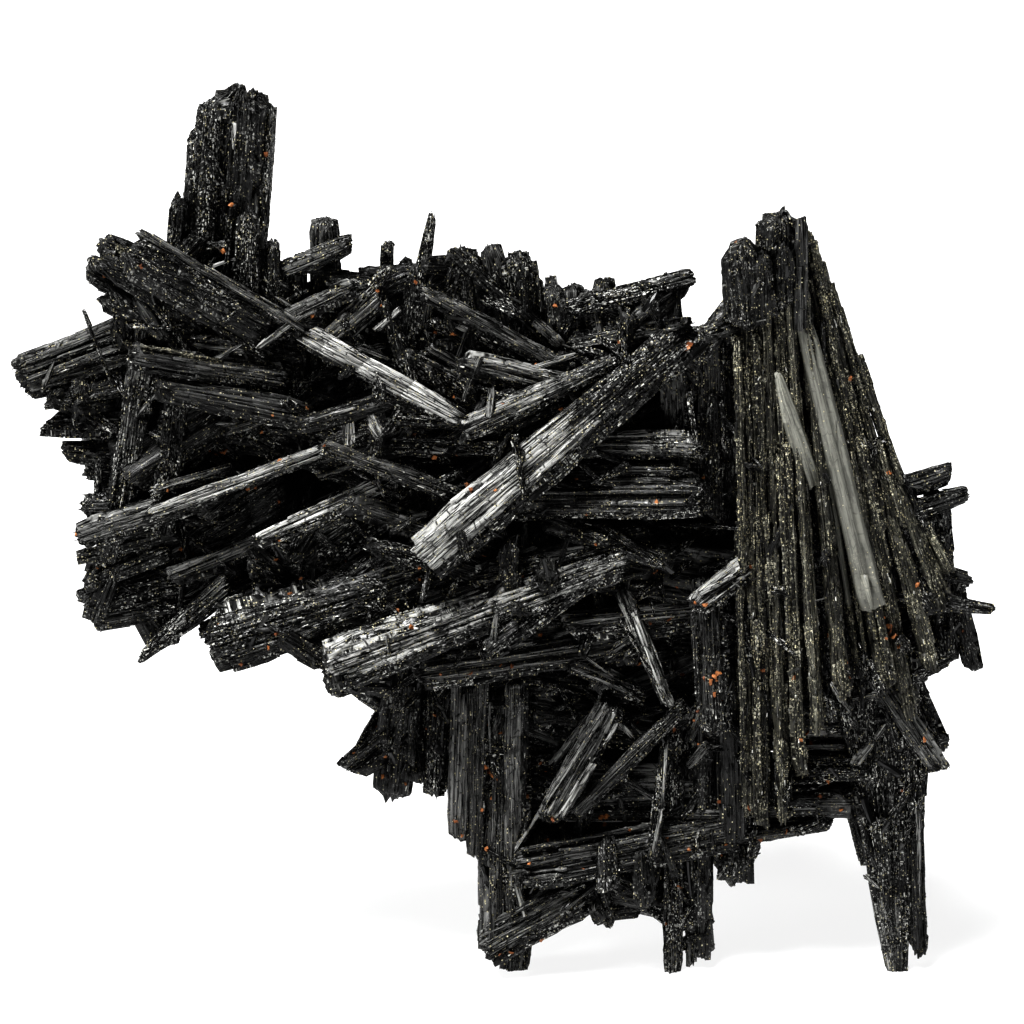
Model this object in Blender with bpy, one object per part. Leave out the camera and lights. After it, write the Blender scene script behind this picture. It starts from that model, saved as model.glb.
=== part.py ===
"""Aegirine cluster: a jackstraw aggregate of black, striated aegirine prisms.

The crystals grew through one another, so they are one solid that stands on its lowest prisms.
Lengths are in millimetres until the last step, which turns them into metres.

Each crystal runs from a buried tail to a free tip. A point on it is given as
    across  to the right of the middle of the front view
    up      above the feet, as seen from the front and tipped down by VIEW_TILT
    back    depth behind the front feet
"""
import math
import random

import bmesh
import bpy
from mathutils import Matrix, Vector

NAME = "aegirine_cluster"
MM = 0.001
VIEW_TILT = math.radians(20.0)
CENTRE_ACROSS = 0.5
CENTRE_BACK = 17.6
SEED = 11

RIB_DEPTH = 0.12        # how far every second corner of a section is drawn in
TIP_SLOPE = 0.6         # steepest cleavage across a tip, as a share of the width
KEPT_TRIANGLES = 0.885  # share left when the smallest slivers of the union are collapsed
ROD_SHARE = 0.42        # width of the rods grown along a crystal, as a share of its width
BLOCK = 0.3             # metres, side of the block that trims the feet level with the floor

# Columns: tail (across, up, back), tip (across, up, back), width, thickness, roll in degrees,
# tip width over tail width, rods grown along it.
LEFT_ARM = [
    ((-42, 80.2, 6), (-58.4, 73.7, 2), 4.6, 4.8, 20, 0.85, 1),
    ((-42, 76.8, 6), (-57.8, 71.2, 3), 4.4, 4.4, 5, 0.90, 0),
    ((-42, 72.8, 5), (-55.4, 69.8, 2), 3.4, 3.2, 0, 0.60, 0),
    ((-42, 67.4, 6), (-57.0, 67.2, 4), 5.2, 3.6, -10, 0.80, 0),
    ((-42, 63.0, 7), (-54.6, 64.2, 4), 4.0, 3.4, 10, 0.80, 0),
    ((-41, 60, 7), (-50.6, 61.4, 5), 3.2, 3.2, 0, 0.80, 0),
    ((-40, 57.4, 5), (-50.8, 57.2, 3), 3.6, 3.4, 0, 0.90, 0),
    ((-30, 76, 5), (-49.4, 87.2, 1), 7.0, 7.0, 30, 0.90, 2),
    ((-30, 80.8, 6), (-48.6, 90.2, 2), 4.2, 4.6, 20, 0.90, 0),
    ((-40, 80, 4), (-51.2, 85.2, 2), 3.2, 3.4, 0, 0.90, 0),
    ((-34, 76, 3), (-48.6, 82.2, 1), 4.6, 4.4, 15, 0.85, 0),
    ((-24, 77.6, 1), (-44.6, 91.4, 1), 2.0, 3.4, 0, 0.90, 0),
    ((-26, 73.2, 3), (-43.6, 76.0, -3), 3.6, 4.0, 10, 1.00, 0),
    ((-24, 68, 2), (-42.0, 71.4, -2), 4.4, 5.0, 20, 0.85, 0),
    ((-43, 80, 4), (-46.8, 57.0, 2), 4.8, 5.0, 10, 0.90, 0),
    ((-39, 78, 3), (-41.6, 54.0, 1), 4.2, 4.6, -15, 0.90, 0),
]
TALL = [
    ((-34.4, 74, 10), (-32.3, 109.0, 9), 7.0, 8.0, 12, 0.92, 2),
    ((-37.8, 74, 10), (-35.2, 107.2, 9), 4.2, 6.4, 10, 0.92, 0),
    ((-31.6, 74, 10), (-29.5, 107.2, 9), 4.0, 6.4, -10, 1.0, 0),
    ((-40.4, 78, 10), (-36.9, 105.2, 9), 3.4, 4.6, 0, 0.85, 0),
    ((-41.8, 78, 9), (-39.0, 96.8, 8), 4.4, 4.6, 10, 0.70, 0),
    ((-31.2, 74, 5), (-30.4, 93.0, 4), 4.0, 4.4, 10, 0.95, 0),
    ((-28.2, 74, 6), (-27.9, 89.8, 5), 2.1, 3.4, 0, 0.95, 0),
]
TOP = [
    ((-21.8, 74, 8), (-22.0, 92.3, 7), 4.4, 3.8, 10, 0.95, 0),
    ((-25.6, 74, 7), (-25.6, 87.2, 6), 4.0, 3.8, 10, 0.95, 0),
    ((-26.5, 86.8, 5), (-18.6, 89.4, 4), 2.6, 2.4, 10, 1.00, 0),
    ((-28, 86.8, 6), (-16.0, 85.1, 5), 1.4, 1.6, 0, 0.90, 0),
    ((-28, 79.0, 5), (-18.2, 83.6, 2), 3.4, 3.4, 20, 0.95, 0),
    ((-22, 76.5, 4), (-14.6, 82.9, 2), 4.0, 3.8, 15, 0.95, 0),
    ((-19, 80, 3), (-12.9, 87.4, 2), 2.0, 2.2, 10, 0.95, 0),
    ((-14, 74, 7), (-14.0, 88.9, 6), 2.2, 2.4, 0, 0.95, 0),
    ((-11.4, 74, 4), (-8.1, 92.2, 4), 3.0, 2.6, 0, 0.45, 0),
    ((-12.8, 76, 4), (-10.2, 89.2, 4), 3.4, 2.4, 0, 0.50, 0),
    ((-11.2, 72, 2), (-14.4, 82.0, 1), 2.4, 2.4, 0, 0.90, 0),
    ((-4, 74, 5), (-5.4, 87.8, 5), 5.0, 4.0, 0, 0.60, 0),
    ((7, 76.5, 4), (-6.9, 88.5, 3), 2.2, 3.0, 0, 0.85, 0),
    ((10, 72.4, 3), (-9.8, 83.2, 0), 2.8, 3.4, 15, 0.90, 1),
    ((2, 74, 7), (-1.6, 88.4, 7), 4.4, 3.8, 0, 0.80, 0),
    ((5, 72, 8), (2.6, 86.2, 7), 4.8, 4.4, 10, 0.85, 0),
    ((8, 71.4, 1), (-4.8, 74.7, -2), 4.2, 3.6, 10, 0.95, 0),
    ((-2, 69.4, 3), (-12.4, 75.6, 1), 3.4, 3.6, 10, 0.90, 0),
    ((8, 72, 8), (8.2, 83.6, 7), 5.0, 5.0, 15, 0.85, 0),
    ((12.4, 72, 7), (12.3, 84.4, 6), 3.8, 3.8, 0, 0.85, 0),
    ((8, 79.6, 5), (23.2, 84.6, 3), 2.8, 2.6, 10, 0.85, 0),
    ((8, 76.8, 5), (22.8, 79.6, 2), 3.6, 4.0, 10, 0.95, 0),
    ((16, 81.8, 5), (25.2, 77.2, 3), 2.2, 2.6, 0, 0.90, 0),
    ((14, 69, 3), (15.4, 80.4, 2), 3.2, 3.2, 0, 0.90, 0),
    ((25.8, 56, 2), (25.4, 78.0, 2), 4.6, 4.2, 0, 0.85, 0),
    ((21.6, 58, 3), (21.0, 77.4, 2), 4.6, 4.2, 10, 0.90, 0),
]
CROSSING = [
    ((21.8, 77.2, -1), (-9.8, 50.8, -7), 4.6, 5.0, 28, 1.45, 2),
    ((-24, 77.8, 2), (-5.4, 67.8, -4), 3.8, 3.8, 15, 0.85, 1),
    ((-13, 70.2, 0), (-24.6, 66.8, -3), 3.0, 3.0, 10, 0.90, 0),
    ((-14.2, 71, 0), (-16.2, 61.8, -2), 2.2, 2.4, 0, 0.90, 0),
    ((-1, 67, 1), (-14.2, 67.6, -1), 2.0, 2.6, 0, 0.90, 0),
    ((0, 64, 1), (-13.6, 64.0, -1), 2.4, 2.8, 10, 0.90, 0),
    ((13.5, 74.6, 0), (-5.2, 66.2, -5), 2.8, 3.4, 10, 1.35, 0),
    ((3, 58.4, 1), (23.8, 58.6, -3), 7.6, 6.0, 10, 0.95, 2),
    ((6, 64.6, 1), (24.0, 64.2, -2), 4.2, 4.4, 20, 0.90, 0),
    ((11.6, 54.8, -1), (19.6, 49.6, -4), 1.6, 1.8, 0, 0.60, 0),
    ((5, 55.2, 0), (20.4, 50.4, -2), 3.8, 3.8, 10, 0.90, 0),
    ((30, 49.9, 0), (23.4, 44.8, -5), 3.8, 3.8, 15, 1.00, 1),
    ((18, 53, 1), (-3.4, 48.4, -3), 4.6, 4.4, 10, 0.90, 0),
]
CENTRE = [
    ((14.5, 50.2, -2), (-21.6, 37.1, -7), 5.2, 5.2, 10, 1.65, 2),
    ((10, 47.8, -3), (-1.8, 39.4, -8), 3.4, 3.6, 0, 1.00, 0),
    ((14, 40, 1), (-10.5, 36.4, -3), 5.2, 5.0, 10, 0.90, 0),
    ((-11, 48.4, 1), (-35.0, 41.6, -4), 8.4, 8.0, 15, 1.10, 2),
    ((-26, 45.6, 3), (-38.0, 41.0, 0), 5.0, 4.6, 0, 0.80, 0),
    ((-21, 64.0, 1), (-43.5, 55.8, -3), 2.3, 3.2, 10, 0.90, 0),
    ((-33, 61.6, 2), (-42.6, 58.9, -1), 2.0, 2.6, 0, 0.90, 0),
    ((-35, 58.8, 2), (-51.6, 53.4, -1), 4.8, 4.2, 10, 0.95, 1),
    ((-40, 54, 3), (-52.7, 51.0, 0), 3.4, 3.4, 0, 0.90, 0),
    ((-41, 52.0, 2), (-51.4, 47.0, 0), 2.8, 2.6, 0, 0.90, 0),
    ((-33, 50.0, 4), (-51.0, 45.2, 2), 4.8, 5.2, 15, 0.90, 0),
    ((-34, 46.0, 4), (-50.0, 43.2, 2), 4.0, 3.8, 5, 0.90, 0),
    ((-34, 47.4, 1), (-44.6, 38.8, -1), 4.6, 3.6, 10, 0.45, 0),
    ((-29, 52.6, 4), (-40.3, 48.2, -1), 3.2, 4.2, 10, 0.95, 0),
    ((-15, 59.4, 0), (-30.0, 52.8, -4), 3.4, 3.4, 15, 0.95, 1),
    ((-3, 57.6, 0), (-22.0, 64.4, -4), 3.2, 3.6, 10, 0.80, 0),
    ((-2, 51.8, 0), (-18.6, 57.4, -3), 3.8, 3.8, 0, 0.90, 0),
    ((-1, 47.8, -1), (-16.4, 52.4, -4), 3.2, 3.6, 10, 0.90, 0),
    ((25, 44, 2), (8.0, 42.4, -2), 5.2, 5.0, 0, 0.90, 0),
    ((25, 48, 0), (25.8, 29.6, -3), 5.0, 4.6, 10, 0.90, 0),
]
SPIRE = [
    ((30.6, 20, 0), (28.2, 85.0, 1), 3.6, 4.0, 0, 0.75, 0),
    ((31.8, 17.8, -1), (30.2, 87.0, 1), 3.0, 4.0, 15, 0.85, 0),
    ((34.4, 18.6, -2), (31.9, 90.0, 0), 2.8, 4.0, -10, 0.85, 0),
    ((37.0, 25.0, -3), (33.6, 92.6, 0), 3.4, 4.2, 10, 0.75, 0),
    ((39.8, 32.0, -3), (35.2, 92.8, 0), 3.4, 4.4, -10, 0.65, 0),
    ((36.4, 92.4, -1), (45.0, 44.4, -7), 2.4, 2.8, 5, 1.60, 0),
    ((47.0, 35.0, -3), (38.0, 89.6, 1), 4.2, 4.6, 10, 0.50, 0),
    ((49.6, 32.0, -1), (39.2, 87.2, 2), 4.2, 4.6, -10, 0.45, 0),
    ((52.2, 37.0, 0), (40.2, 82.6, 3), 4.0, 4.6, 10, 0.45, 0),
    ((53.0, 45.0, 1), (42.2, 77.0, 4), 3.4, 4.4, -10, 0.45, 0),
    ((54.6, 49.0, 2), (47.4, 62.6, 4), 3.0, 4.0, 10, 0.50, 0),
    ((31.4, 76, 3), (28.5, 89.2, 3), 4.8, 6.0, 20, 1.00, 0),
    ((34.2, 78, 3), (34.2, 92.6, 3), 5.4, 6.2, 15, 1.00, 0),
    ((32.6, 74.4, -2), (37.8, 59.4, -7), 1.8, 2.4, 10, 1.60, 0),
]
RIGHT = [
    ((46, 57.6, 4), (54.4, 60.8, 3), 3.6, 3.0, 0, 0.80, 0),
    ((47, 55.4, 3), (56.6, 58.6, 2), 3.2, 3.4, 15, 0.80, 0),
    ((52.6, 59, 4), (54.4, 38.2, 3), 3.8, 4.2, 10, 0.90, 0),
    ((49, 50, 4), (56.7, 48.0, 4), 3.2, 3.4, 0, 0.80, 0),
    ((48, 45.8, 2), (59.7, 44.4, 0), 2.9, 2.6, 10, 0.60, 0),
    ((55.0, 48.4, 4), (57.6, 37.0, 3), 3.0, 3.4, 0, 0.95, 0),
    ((45, 33.6, 0), (54.6, 38.3, -1), 2.0, 2.4, 0, 0.90, 0),
    ((48.6, 38, 3), (53.4, 27.4, 2), 4.4, 5.0, 20, 0.85, 0),
    ((45.2, 36.4, 0), (53.2, 25.0, -2), 3.8, 4.0, 10, 0.85, 1),
    ((30, 21.0, 2), (42.0, 21.2, 0), 5.0, 5.0, 10, 0.95, 0),
    ((30, 25.0, 2), (44.4, 25.0, 0), 4.6, 4.4, 0, 0.90, 0),
    ((25, 15.8, 3), (41.3, 18.4, 1), 3.0, 5.0, 0, 0.75, 0),
]
LEGS = [
    ((45.4, 40, 2), (48.6, -1.5, 0), 12.0, 7.0, 10, 0.25, 2),
    ((49.2, 36, 1), (51.6, 2.2, 1), 3.4, 4.0, 10, 0.70, 1),
    ((20.8, 30, 3), (20.9, -1.5, 0), 3.2, 3.6, 10, 0.85, 0),
    ((23.0, 28, 4), (23.2, 0.9, 1), 2.8, 3.2, 0, 0.90, 0),
    ((24.6, 32, 3), (24.7, 2.0, 1), 3.0, 3.4, 10, 0.95, 0),
    ((0.2, 34, 3), (-0.4, 2.4, -2), 6.6, 6.0, 10, 0.95, 0),
    ((9.6, 10.0, -1), (-2.4, 2.9, -2), 5.6, 5.4, 20, 1.00, 1),
    ((3.2, 18, 4), (1.2, -1.5, 1), 6.0, 7.0, 10, 0.60, 0),
    ((2, 56, 10), (2.6, 10.6, 38), 8.4, 7.4, 10, 0.60, 0),
    ((16, 42, 12), (6.0, 14.0, 34), 6.4, 6.0, 0, 0.70, 0),
    ((31, 50, 14), (20.6, 11.4, 42), 8.4, 7.6, 15, 0.60, 0),
    ((14, 38, 14), (24.0, 18.0, 36), 6.0, 6.0, 0, 0.80, 0),
    ((38, 54, 10), (46.8, 10.6, 37), 8.4, 7.0, 0, 0.55, 0),
    ((46, 46, 8), (47.6, 16.0, 26), 6.0, 6.0, 10, 0.80, 0),
]
BOTTOM = [
    ((-11.6, 40, 3), (-13.4, 22.0, 1), 7.0, 5.4, -15, 0.90, 0),
    ((-11, 31, 2), (-18.8, 25.0, 0), 5.4, 4.6, 10, 0.80, 0),
    ((-7.6, 40, 2), (-8.5, 21.8, -1), 3.6, 4.2, 0, 0.85, 0),
    ((-5.0, 38, 1), (-5.6, 16.6, -2), 3.4, 4.2, 10, 0.90, 0),
    ((-2.8, 38, 1), (-3.5, 14.2, -2), 3.0, 3.8, -10, 0.85, 0),
    ((1.6, 36, 0), (1.2, 9.6, -2), 3.6, 4.2, 10, 0.90, 0),
    ((13.0, 33.2, 0), (4.9, 18.6, -5), 5.6, 4.6, 15, 0.95, 2),
    ((22.4, 32.8, 0), (8.8, 19.4, -4), 2.4, 3.0, 0, 0.95, 0),
    ((17.0, 33.9, 2), (8.1, 37.8, -2), 2.4, 3.4, 10, 0.95, 0),
    ((14.6, 46.6, -1), (20.2, 32.8, -4), 2.6, 3.0, 20, 0.75, 0),
    ((27.5, 17.4, 2), (2.4, 12.6, -4), 6.2, 5.6, 10, 1.00, 2),
    ((11, 15, 3), (13.2, 5.8, 1), 4.0, 4.0, 0, 0.60, 0),
    ((12, 11.8, 4), (21.5, 8.4, 3), 5.0, 4.4, 0, 0.90, 0),
    ((25.2, 15.6, 3), (28.4, 10.6, 2), 1.8, 2.2, 0, 0.90, 0),
    ((31.8, 18.4, 3), (29.0, 10.9, 2), 2.0, 2.4, 0, 0.90, 0),
    ((20.0, 29.4, 0), (18.3, 13.7, -4), 1.6, 2.0, 0, 0.90, 0),
    ((27.8, 38, 2), (28.4, 16.4, 1), 5.0, 4.6, 0, 0.90, 0),
]
INNER = [
    ((-46, 62, 4), (-30, 72, 8), 10.0, 9.0, 0, 0.90, 0),
    ((-28, 60, 8), (-47, 49, 5), 9.0, 8.4, 20, 0.90, 0),
    ((-44, 78, 5), (-24, 74, 8), 9.0, 8.0, 0, 0.90, 0),
    ((-34, 70, 6), (-14, 60, 4), 9.0, 8.0, 30, 0.90, 0),
    ((-26, 50, 4), (-8, 62, 4), 9.0, 8.0, 10, 0.90, 0),
    ((-22, 78, 6), (2, 74, 5), 8.0, 8.0, 0, 0.90, 0),
    ((-6, 66, 4), (16, 76, 5), 8.4, 8.0, 10, 0.90, 0),
    ((-10, 53, 2), (14, 70, 3), 9.6, 8.0, 20, 0.90, 0),
    ((-24, 63, 4), (-2, 69, 4), 7.0, 6.0, 0, 0.90, 0),
    ((-14, 44, 3), (8, 52, 3), 9.0, 7.0, 20, 0.90, 0),
    ((-10, 40, 3), (16, 42, 3), 8.0, 7.0, 0, 0.90, 0),
    ((8, 62, 4), (26, 66, 4), 9.0, 7.0, 10, 0.90, 0),
    ((6, 52, 3), (30, 48, 3), 9.0, 7.0, 30, 0.90, 0),
    ((-6, 34, 4), (18, 30, 4), 9.0, 7.0, 0, 0.90, 0),
    ((2, 22, 4), (28, 22, 4), 9.6, 7.0, 20, 0.90, 0),
    ((32, 30, 4), (33, 84, 4), 7.0, 7.0, 0, 0.80, 0),
    ((42, 34, 4), (38, 76, 5), 9.0, 7.0, 20, 0.60, 0),
    ((24, 30, 3), (46, 30, 4), 8.0, 7.0, 10, 0.90, 0),
]
BACK = [
    ((-44, 57, 10), (-28, 75, 17), 9.0, 8.0, 10, 0.85, 0),
    ((-22, 60, 15), (-47, 47, 9), 8.4, 8.0, 30, 0.85, 0),
    ((-18, 60, 18), (-44, 72, 12), 8.4, 8.0, 20, 0.85, 0),
    ((-18, 72, 15), (-42, 83, 11), 7.6, 7.0, 0, 0.85, 0),
    ((-8, 56, 17), (-34, 47, 9), 8.4, 8.0, 40, 0.85, 0),
    ((-26, 69, 10), (2, 79, 14), 8.4, 8.0, 15, 0.85, 0),
    ((-14, 60, 10), (16, 73, 13), 9.0, 8.6, 25, 0.85, 0),
    ((-4, 76, 13), (22, 66, 18), 8.4, 8.0, 10, 0.85, 0),
    ((16, 57, 11), (-15, 44, 14), 9.4, 9.0, 20, 0.85, 0),
    ((12, 47, 12), (-11, 36, 16), 9.0, 8.4, 0, 0.85, 0),
    ((4, 52, 9), (36, 60, 12), 9.4, 9.0, 30, 0.85, 0),
    ((6, 30, 10), (34, 42, 12), 11.0, 9.0, 20, 0.85, 0),
    ((20, 40, 14), (-4, 26, 12), 8.4, 8.0, 0, 0.85, 0),
    ((32, 29, 10), (6, 20, 10), 8.4, 8.0, 15, 0.85, 0),
    ((36, 36, 10), (31, 84, 6), 9.4, 9.0, 0, 0.60, 0),
    ((46, 34, 10), (37, 78, 8), 9.4, 9.0, 20, 0.60, 0),
    ((47, 36, 8), (42, 66, 10), 8.4, 9.0, 0, 0.70, 0),
    ((30, 62, 17), (37, 24, 16), 9.0, 8.4, 30, 0.85, 0),
]
REAR = [
    ((-30, 60, 8), (-44, 66, 34), 7.0, 6.4, 0, 0.85, 0),
    ((-36, 70, 8), (-30, 83, 30), 6.4, 6.0, 10, 0.85, 0),
    ((-40, 58, 8), (-46, 54, 30), 6.0, 5.6, 0, 0.85, 0),
    ((-24, 64, 10), (-26, 73, 38), 7.0, 6.4, 20, 0.85, 0),
    ((-8, 58, 10), (-16, 61, 42), 8.0, 7.0, 0, 0.85, 0),
    ((2, 62, 10), (10, 75, 38), 8.0, 7.0, 10, 0.85, 0),
    ((-10, 72, 10), (-6, 81, 34), 6.0, 6.0, 0, 0.85, 0),
    ((0, 46, 8), (-5, 42, 40), 8.0, 7.0, 10, 0.85, 0),
    ((14, 56, 10), (20, 61, 44), 8.0, 7.0, 0, 0.85, 0),
    ((10, 46, 10), (5, 51, 46), 7.0, 7.0, 20, 0.85, 0),
    ((34, 60, 8), (30, 72, 36), 7.0, 7.0, 0, 0.85, 0),
    ((40, 48, 8), (46, 54, 34), 7.0, 7.0, 10, 0.85, 0),
    ((30, 50, 10), (27, 45, 44), 8.0, 7.0, 0, 0.85, 0),
    ((42, 42, 8), (46, 36, 32), 6.0, 6.0, 20, 0.85, 0),
    ((10, 34, 8), (3, 30, 38), 7.0, 7.0, 0, 0.85, 0),
    ((22, 34, 8), (25, 29, 36), 7.0, 6.4, 10, 0.85, 0),
    ((-34, 57, 20), (12, 66, 32), 8.0, 7.0, 20, 0.80, 0),
    ((-10, 74, 18), (26, 49, 34), 8.0, 7.0, 0, 0.80, 0),
    ((30, 78, 12), (13, 36, 32), 8.0, 7.0, 30, 0.80, 0),
    ((-24, 49, 18), (20, 35, 30), 8.0, 7.0, 10, 0.80, 0),
    ((46, 57, 12), (21, 41, 32), 7.0, 7.0, 0, 0.80, 0),
]
GROUPS = (LEFT_ARM, TALL, TOP, CROSSING, CENTRE, SPIRE, RIGHT, LEGS, BOTTOM,
          INNER, BACK, REAR)
VIEWER = Vector((0.0, -math.cos(VIEW_TILT), math.sin(VIEW_TILT)))


def place(point):
    """Turn (across, up, back) into a position in millimetres."""
    across, up, back = point
    height = (up - back * math.sin(VIEW_TILT)) / math.cos(VIEW_TILT)
    return Vector((across - CENTRE_ACROSS, back - CENTRE_BACK, height))


def add_cutting_body(name, bm, home):
    """A body that is used up in a boolean, so it is never drawn solid or rendered."""
    mesh = bpy.data.meshes.new(name)
    bm.to_mesh(mesh)
    bm.free()
    body = bpy.data.objects.new(name, mesh)
    body.hide_render = True
    body.display_type = "WIRE"
    home.objects.link(body)
    return body


def add_prism(name, tail, tip, width, thick, roll, point, sides, chance, home):
    """One ribbed prism, cleaved flat at its tip, as an object in the home collection."""
    ahead = (tip - tail).normalized()
    side = VIEWER.cross(ahead).normalized()
    toward = ahead.cross(side)
    turn = Matrix((side, toward, ahead)).transposed() @ Matrix.Rotation(roll, 3, "Z")
    steepness = TIP_SLOPE * width / (tip - tail).length
    cleft = Vector((chance.uniform(-1, 1), chance.uniform(-1, 1), 0)) * steepness
    bm = bmesh.new()
    bmesh.ops.create_cone(bm, cap_ends=True, segments=sides, radius1=0.5, radius2=0.5, depth=1.0)
    for vert in bm.verts:
        corner = round(math.atan2(vert.co.y, vert.co.x) / math.tau * sides)
        ring = Vector((vert.co.x, vert.co.y, 0)) * (1.0 - RIB_DEPTH * (corner % 2))
        section = turn @ Vector((ring.x * width, ring.y * thick, 0))
        reach = 0.0 if vert.co.z < 0 else 1.0 + cleft.dot(ring)
        vert.co = ((tail + section).lerp(tip + section * point, reach)) * MM
    return add_cutting_body(name, bm, home)


def grow(rows, chance, home):
    """Every crystal of one group, each with the thinner rods grown along it."""
    prisms = []
    for tail, tip, width, thick, degrees, point, rods in rows:
        tail = place(tail)
        tip = place(tip)
        roll = math.radians(degrees)
        sides = 8 if rods > 1 else 6
        prisms.append(add_prism("prism", tail, tip, width, thick, roll, point, sides, chance, home))
        along = tip - tail
        side = VIEWER.cross(along).normalized()
        for number in range(rods):
            spread = (number + 0.5) / rods - 0.5 + chance.uniform(-0.08, 0.08)
            lift = VIEWER * thick * chance.uniform(0.28, 0.36)
            start = tail + along * chance.uniform(0.05, 0.40) + side * width * spread * 0.8 + lift
            end = tail + along * chance.uniform(0.70, 1.03) + side * width * spread * point * 0.8
            prisms.append(add_prism("rod", start, end + lift * point, width * ROD_SHARE,
                                    thick * ROD_SHARE, roll + chance.uniform(-0.4, 0.4), point,
                                    6, chance, home))
    return prisms


def keep_outer_skin(mesh):
    """Leave only the outermost closed surface, so that no pocket is sealed inside the solid."""
    bm = bmesh.new()
    bm.from_mesh(mesh)
    bmesh.ops.triangulate(bm, faces=bm.faces)
    left = set(bm.faces)
    shells = []
    while left:
        shell = set()
        reached = [left.pop()]
        while reached:
            face = reached.pop()
            shell.add(face)
            for edge in face.edges:
                for other in edge.link_faces:
                    if other in left:
                        left.remove(other)
                        reached.append(other)
        shells.append(shell)
    shells.sort(key=len, reverse=True)
    for shell in shells[1:]:
        bmesh.ops.delete(bm, geom=list(shell), context="FACES")
    bm.to_mesh(mesh)
    bm.free()


def black_aegirine():
    """Greenish black, glassy on fresh faces."""
    material = bpy.data.materials.new("black_aegirine")
    material.use_nodes = True
    shader = material.node_tree.nodes["Principled BSDF"]
    shader.inputs["Base Color"].default_value = (0.012, 0.013, 0.011, 1.0)
    shader.inputs["Roughness"].default_value = 0.38
    shader.inputs["Metallic"].default_value = 0.0
    return material


def main():
    for old in list(bpy.data.objects):
        bpy.data.objects.remove(old)
    parts = bpy.data.collections.new(NAME)
    growth = bpy.data.collections.new("crystals_to_fuse")
    cutters = bpy.data.collections.new("cutters")
    for collection in (parts, growth, cutters):
        bpy.context.scene.collection.children.link(collection)

    # Fuse every crystal with the first one.
    chance = random.Random(SEED)
    prisms = [prism for rows in GROUPS for prism in grow(rows, chance, growth)]
    first = prisms[0]
    growth.objects.unlink(first)
    parts.objects.link(first)
    fuse = first.modifiers.new("fuse", "BOOLEAN")
    fuse.operation = "UNION"
    fuse.operand_type = "COLLECTION"
    fuse.collection = growth
    fuse.solver = "EXACT"
    depsgraph = bpy.context.evaluated_depsgraph_get()
    mesh = bpy.data.meshes.new_from_object(first.evaluated_get(depsgraph))
    for spent in prisms:
        bpy.data.objects.remove(spent)
    keep_outer_skin(mesh)

    # Collapse the slivers, then trim the feet level with the floor.
    mesh.name = NAME
    mesh.materials.clear()
    mesh.materials.append(black_aegirine())
    cluster = bpy.data.objects.new(NAME, mesh)
    parts.objects.link(cluster)
    thin = cluster.modifiers.new("thin", "DECIMATE")
    thin.ratio = KEPT_TRIANGLES
    bm = bmesh.new()
    bmesh.ops.create_cube(bm, size=BLOCK, matrix=Matrix.Translation((0.0, 0.0, -BLOCK / 2)))
    level = cluster.modifiers.new("level", "BOOLEAN")
    level.operation = "DIFFERENCE"
    level.object = add_cutting_body("below_floor", bm, cutters)
    level.solver = "EXACT"


main()
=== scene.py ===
# %% [markdown]
# Aegirine cluster.
# Aegirine grows as long black prisms with ribs along their sides. In this cluster a few hundred of
# them grew through one another like dropped matches. The lesson loads the plain solid, covers it
# with crystals that have ribs, steps and broken ends, and then adds what is smaller still:
# splinters, micro-crystals and orange-brown grains. It ends with the floor, the lights and the camera.

# %% Load the frame
import math

import bpy
import numpy as np
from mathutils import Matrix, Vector
from mathutils.bvhtree import BVHTree
from mathutils.noise import noise as clump


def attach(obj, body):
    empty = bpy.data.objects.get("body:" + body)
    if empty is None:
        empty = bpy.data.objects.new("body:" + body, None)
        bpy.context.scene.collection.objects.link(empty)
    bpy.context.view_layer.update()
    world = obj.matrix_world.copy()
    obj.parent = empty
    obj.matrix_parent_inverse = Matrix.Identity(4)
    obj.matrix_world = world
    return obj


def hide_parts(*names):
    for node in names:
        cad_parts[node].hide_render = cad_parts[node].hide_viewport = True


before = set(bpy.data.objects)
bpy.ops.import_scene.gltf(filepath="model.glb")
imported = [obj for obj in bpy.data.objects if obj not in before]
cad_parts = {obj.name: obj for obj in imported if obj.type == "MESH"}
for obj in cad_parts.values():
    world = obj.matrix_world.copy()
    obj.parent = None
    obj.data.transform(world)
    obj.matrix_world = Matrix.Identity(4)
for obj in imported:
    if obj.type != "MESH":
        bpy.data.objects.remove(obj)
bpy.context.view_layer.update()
SOLID = "aegirine_cluster"
MM = 0.001

# %% [markdown]
# The crystals are listed as they are seen from the front, tipped down by twenty degrees.
# "Across" runs to the right, "up" runs up that view, and "back" is the depth behind the front feet.
# One small function turns such a point into a place in the frame, so the lists stay readable.

# %% From the front view to the frame
VIEW_TILT = math.radians(20.0)
CENTRE_ACROSS = 0.5
CENTRE_BACK = 17.6
VIEWER = np.array([0.0, -math.cos(VIEW_TILT), math.sin(VIEW_TILT)])


def place(across, up, back):
    """A point of the front view as a position in millimetres."""
    height = (up - back * math.sin(VIEW_TILT)) / math.cos(VIEW_TILT)
    return np.array([across - CENTRE_ACROSS, back - CENTRE_BACK, height])


print("the middle of the front view", place(0.0, 55.0, 0.0).round(1))
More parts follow.
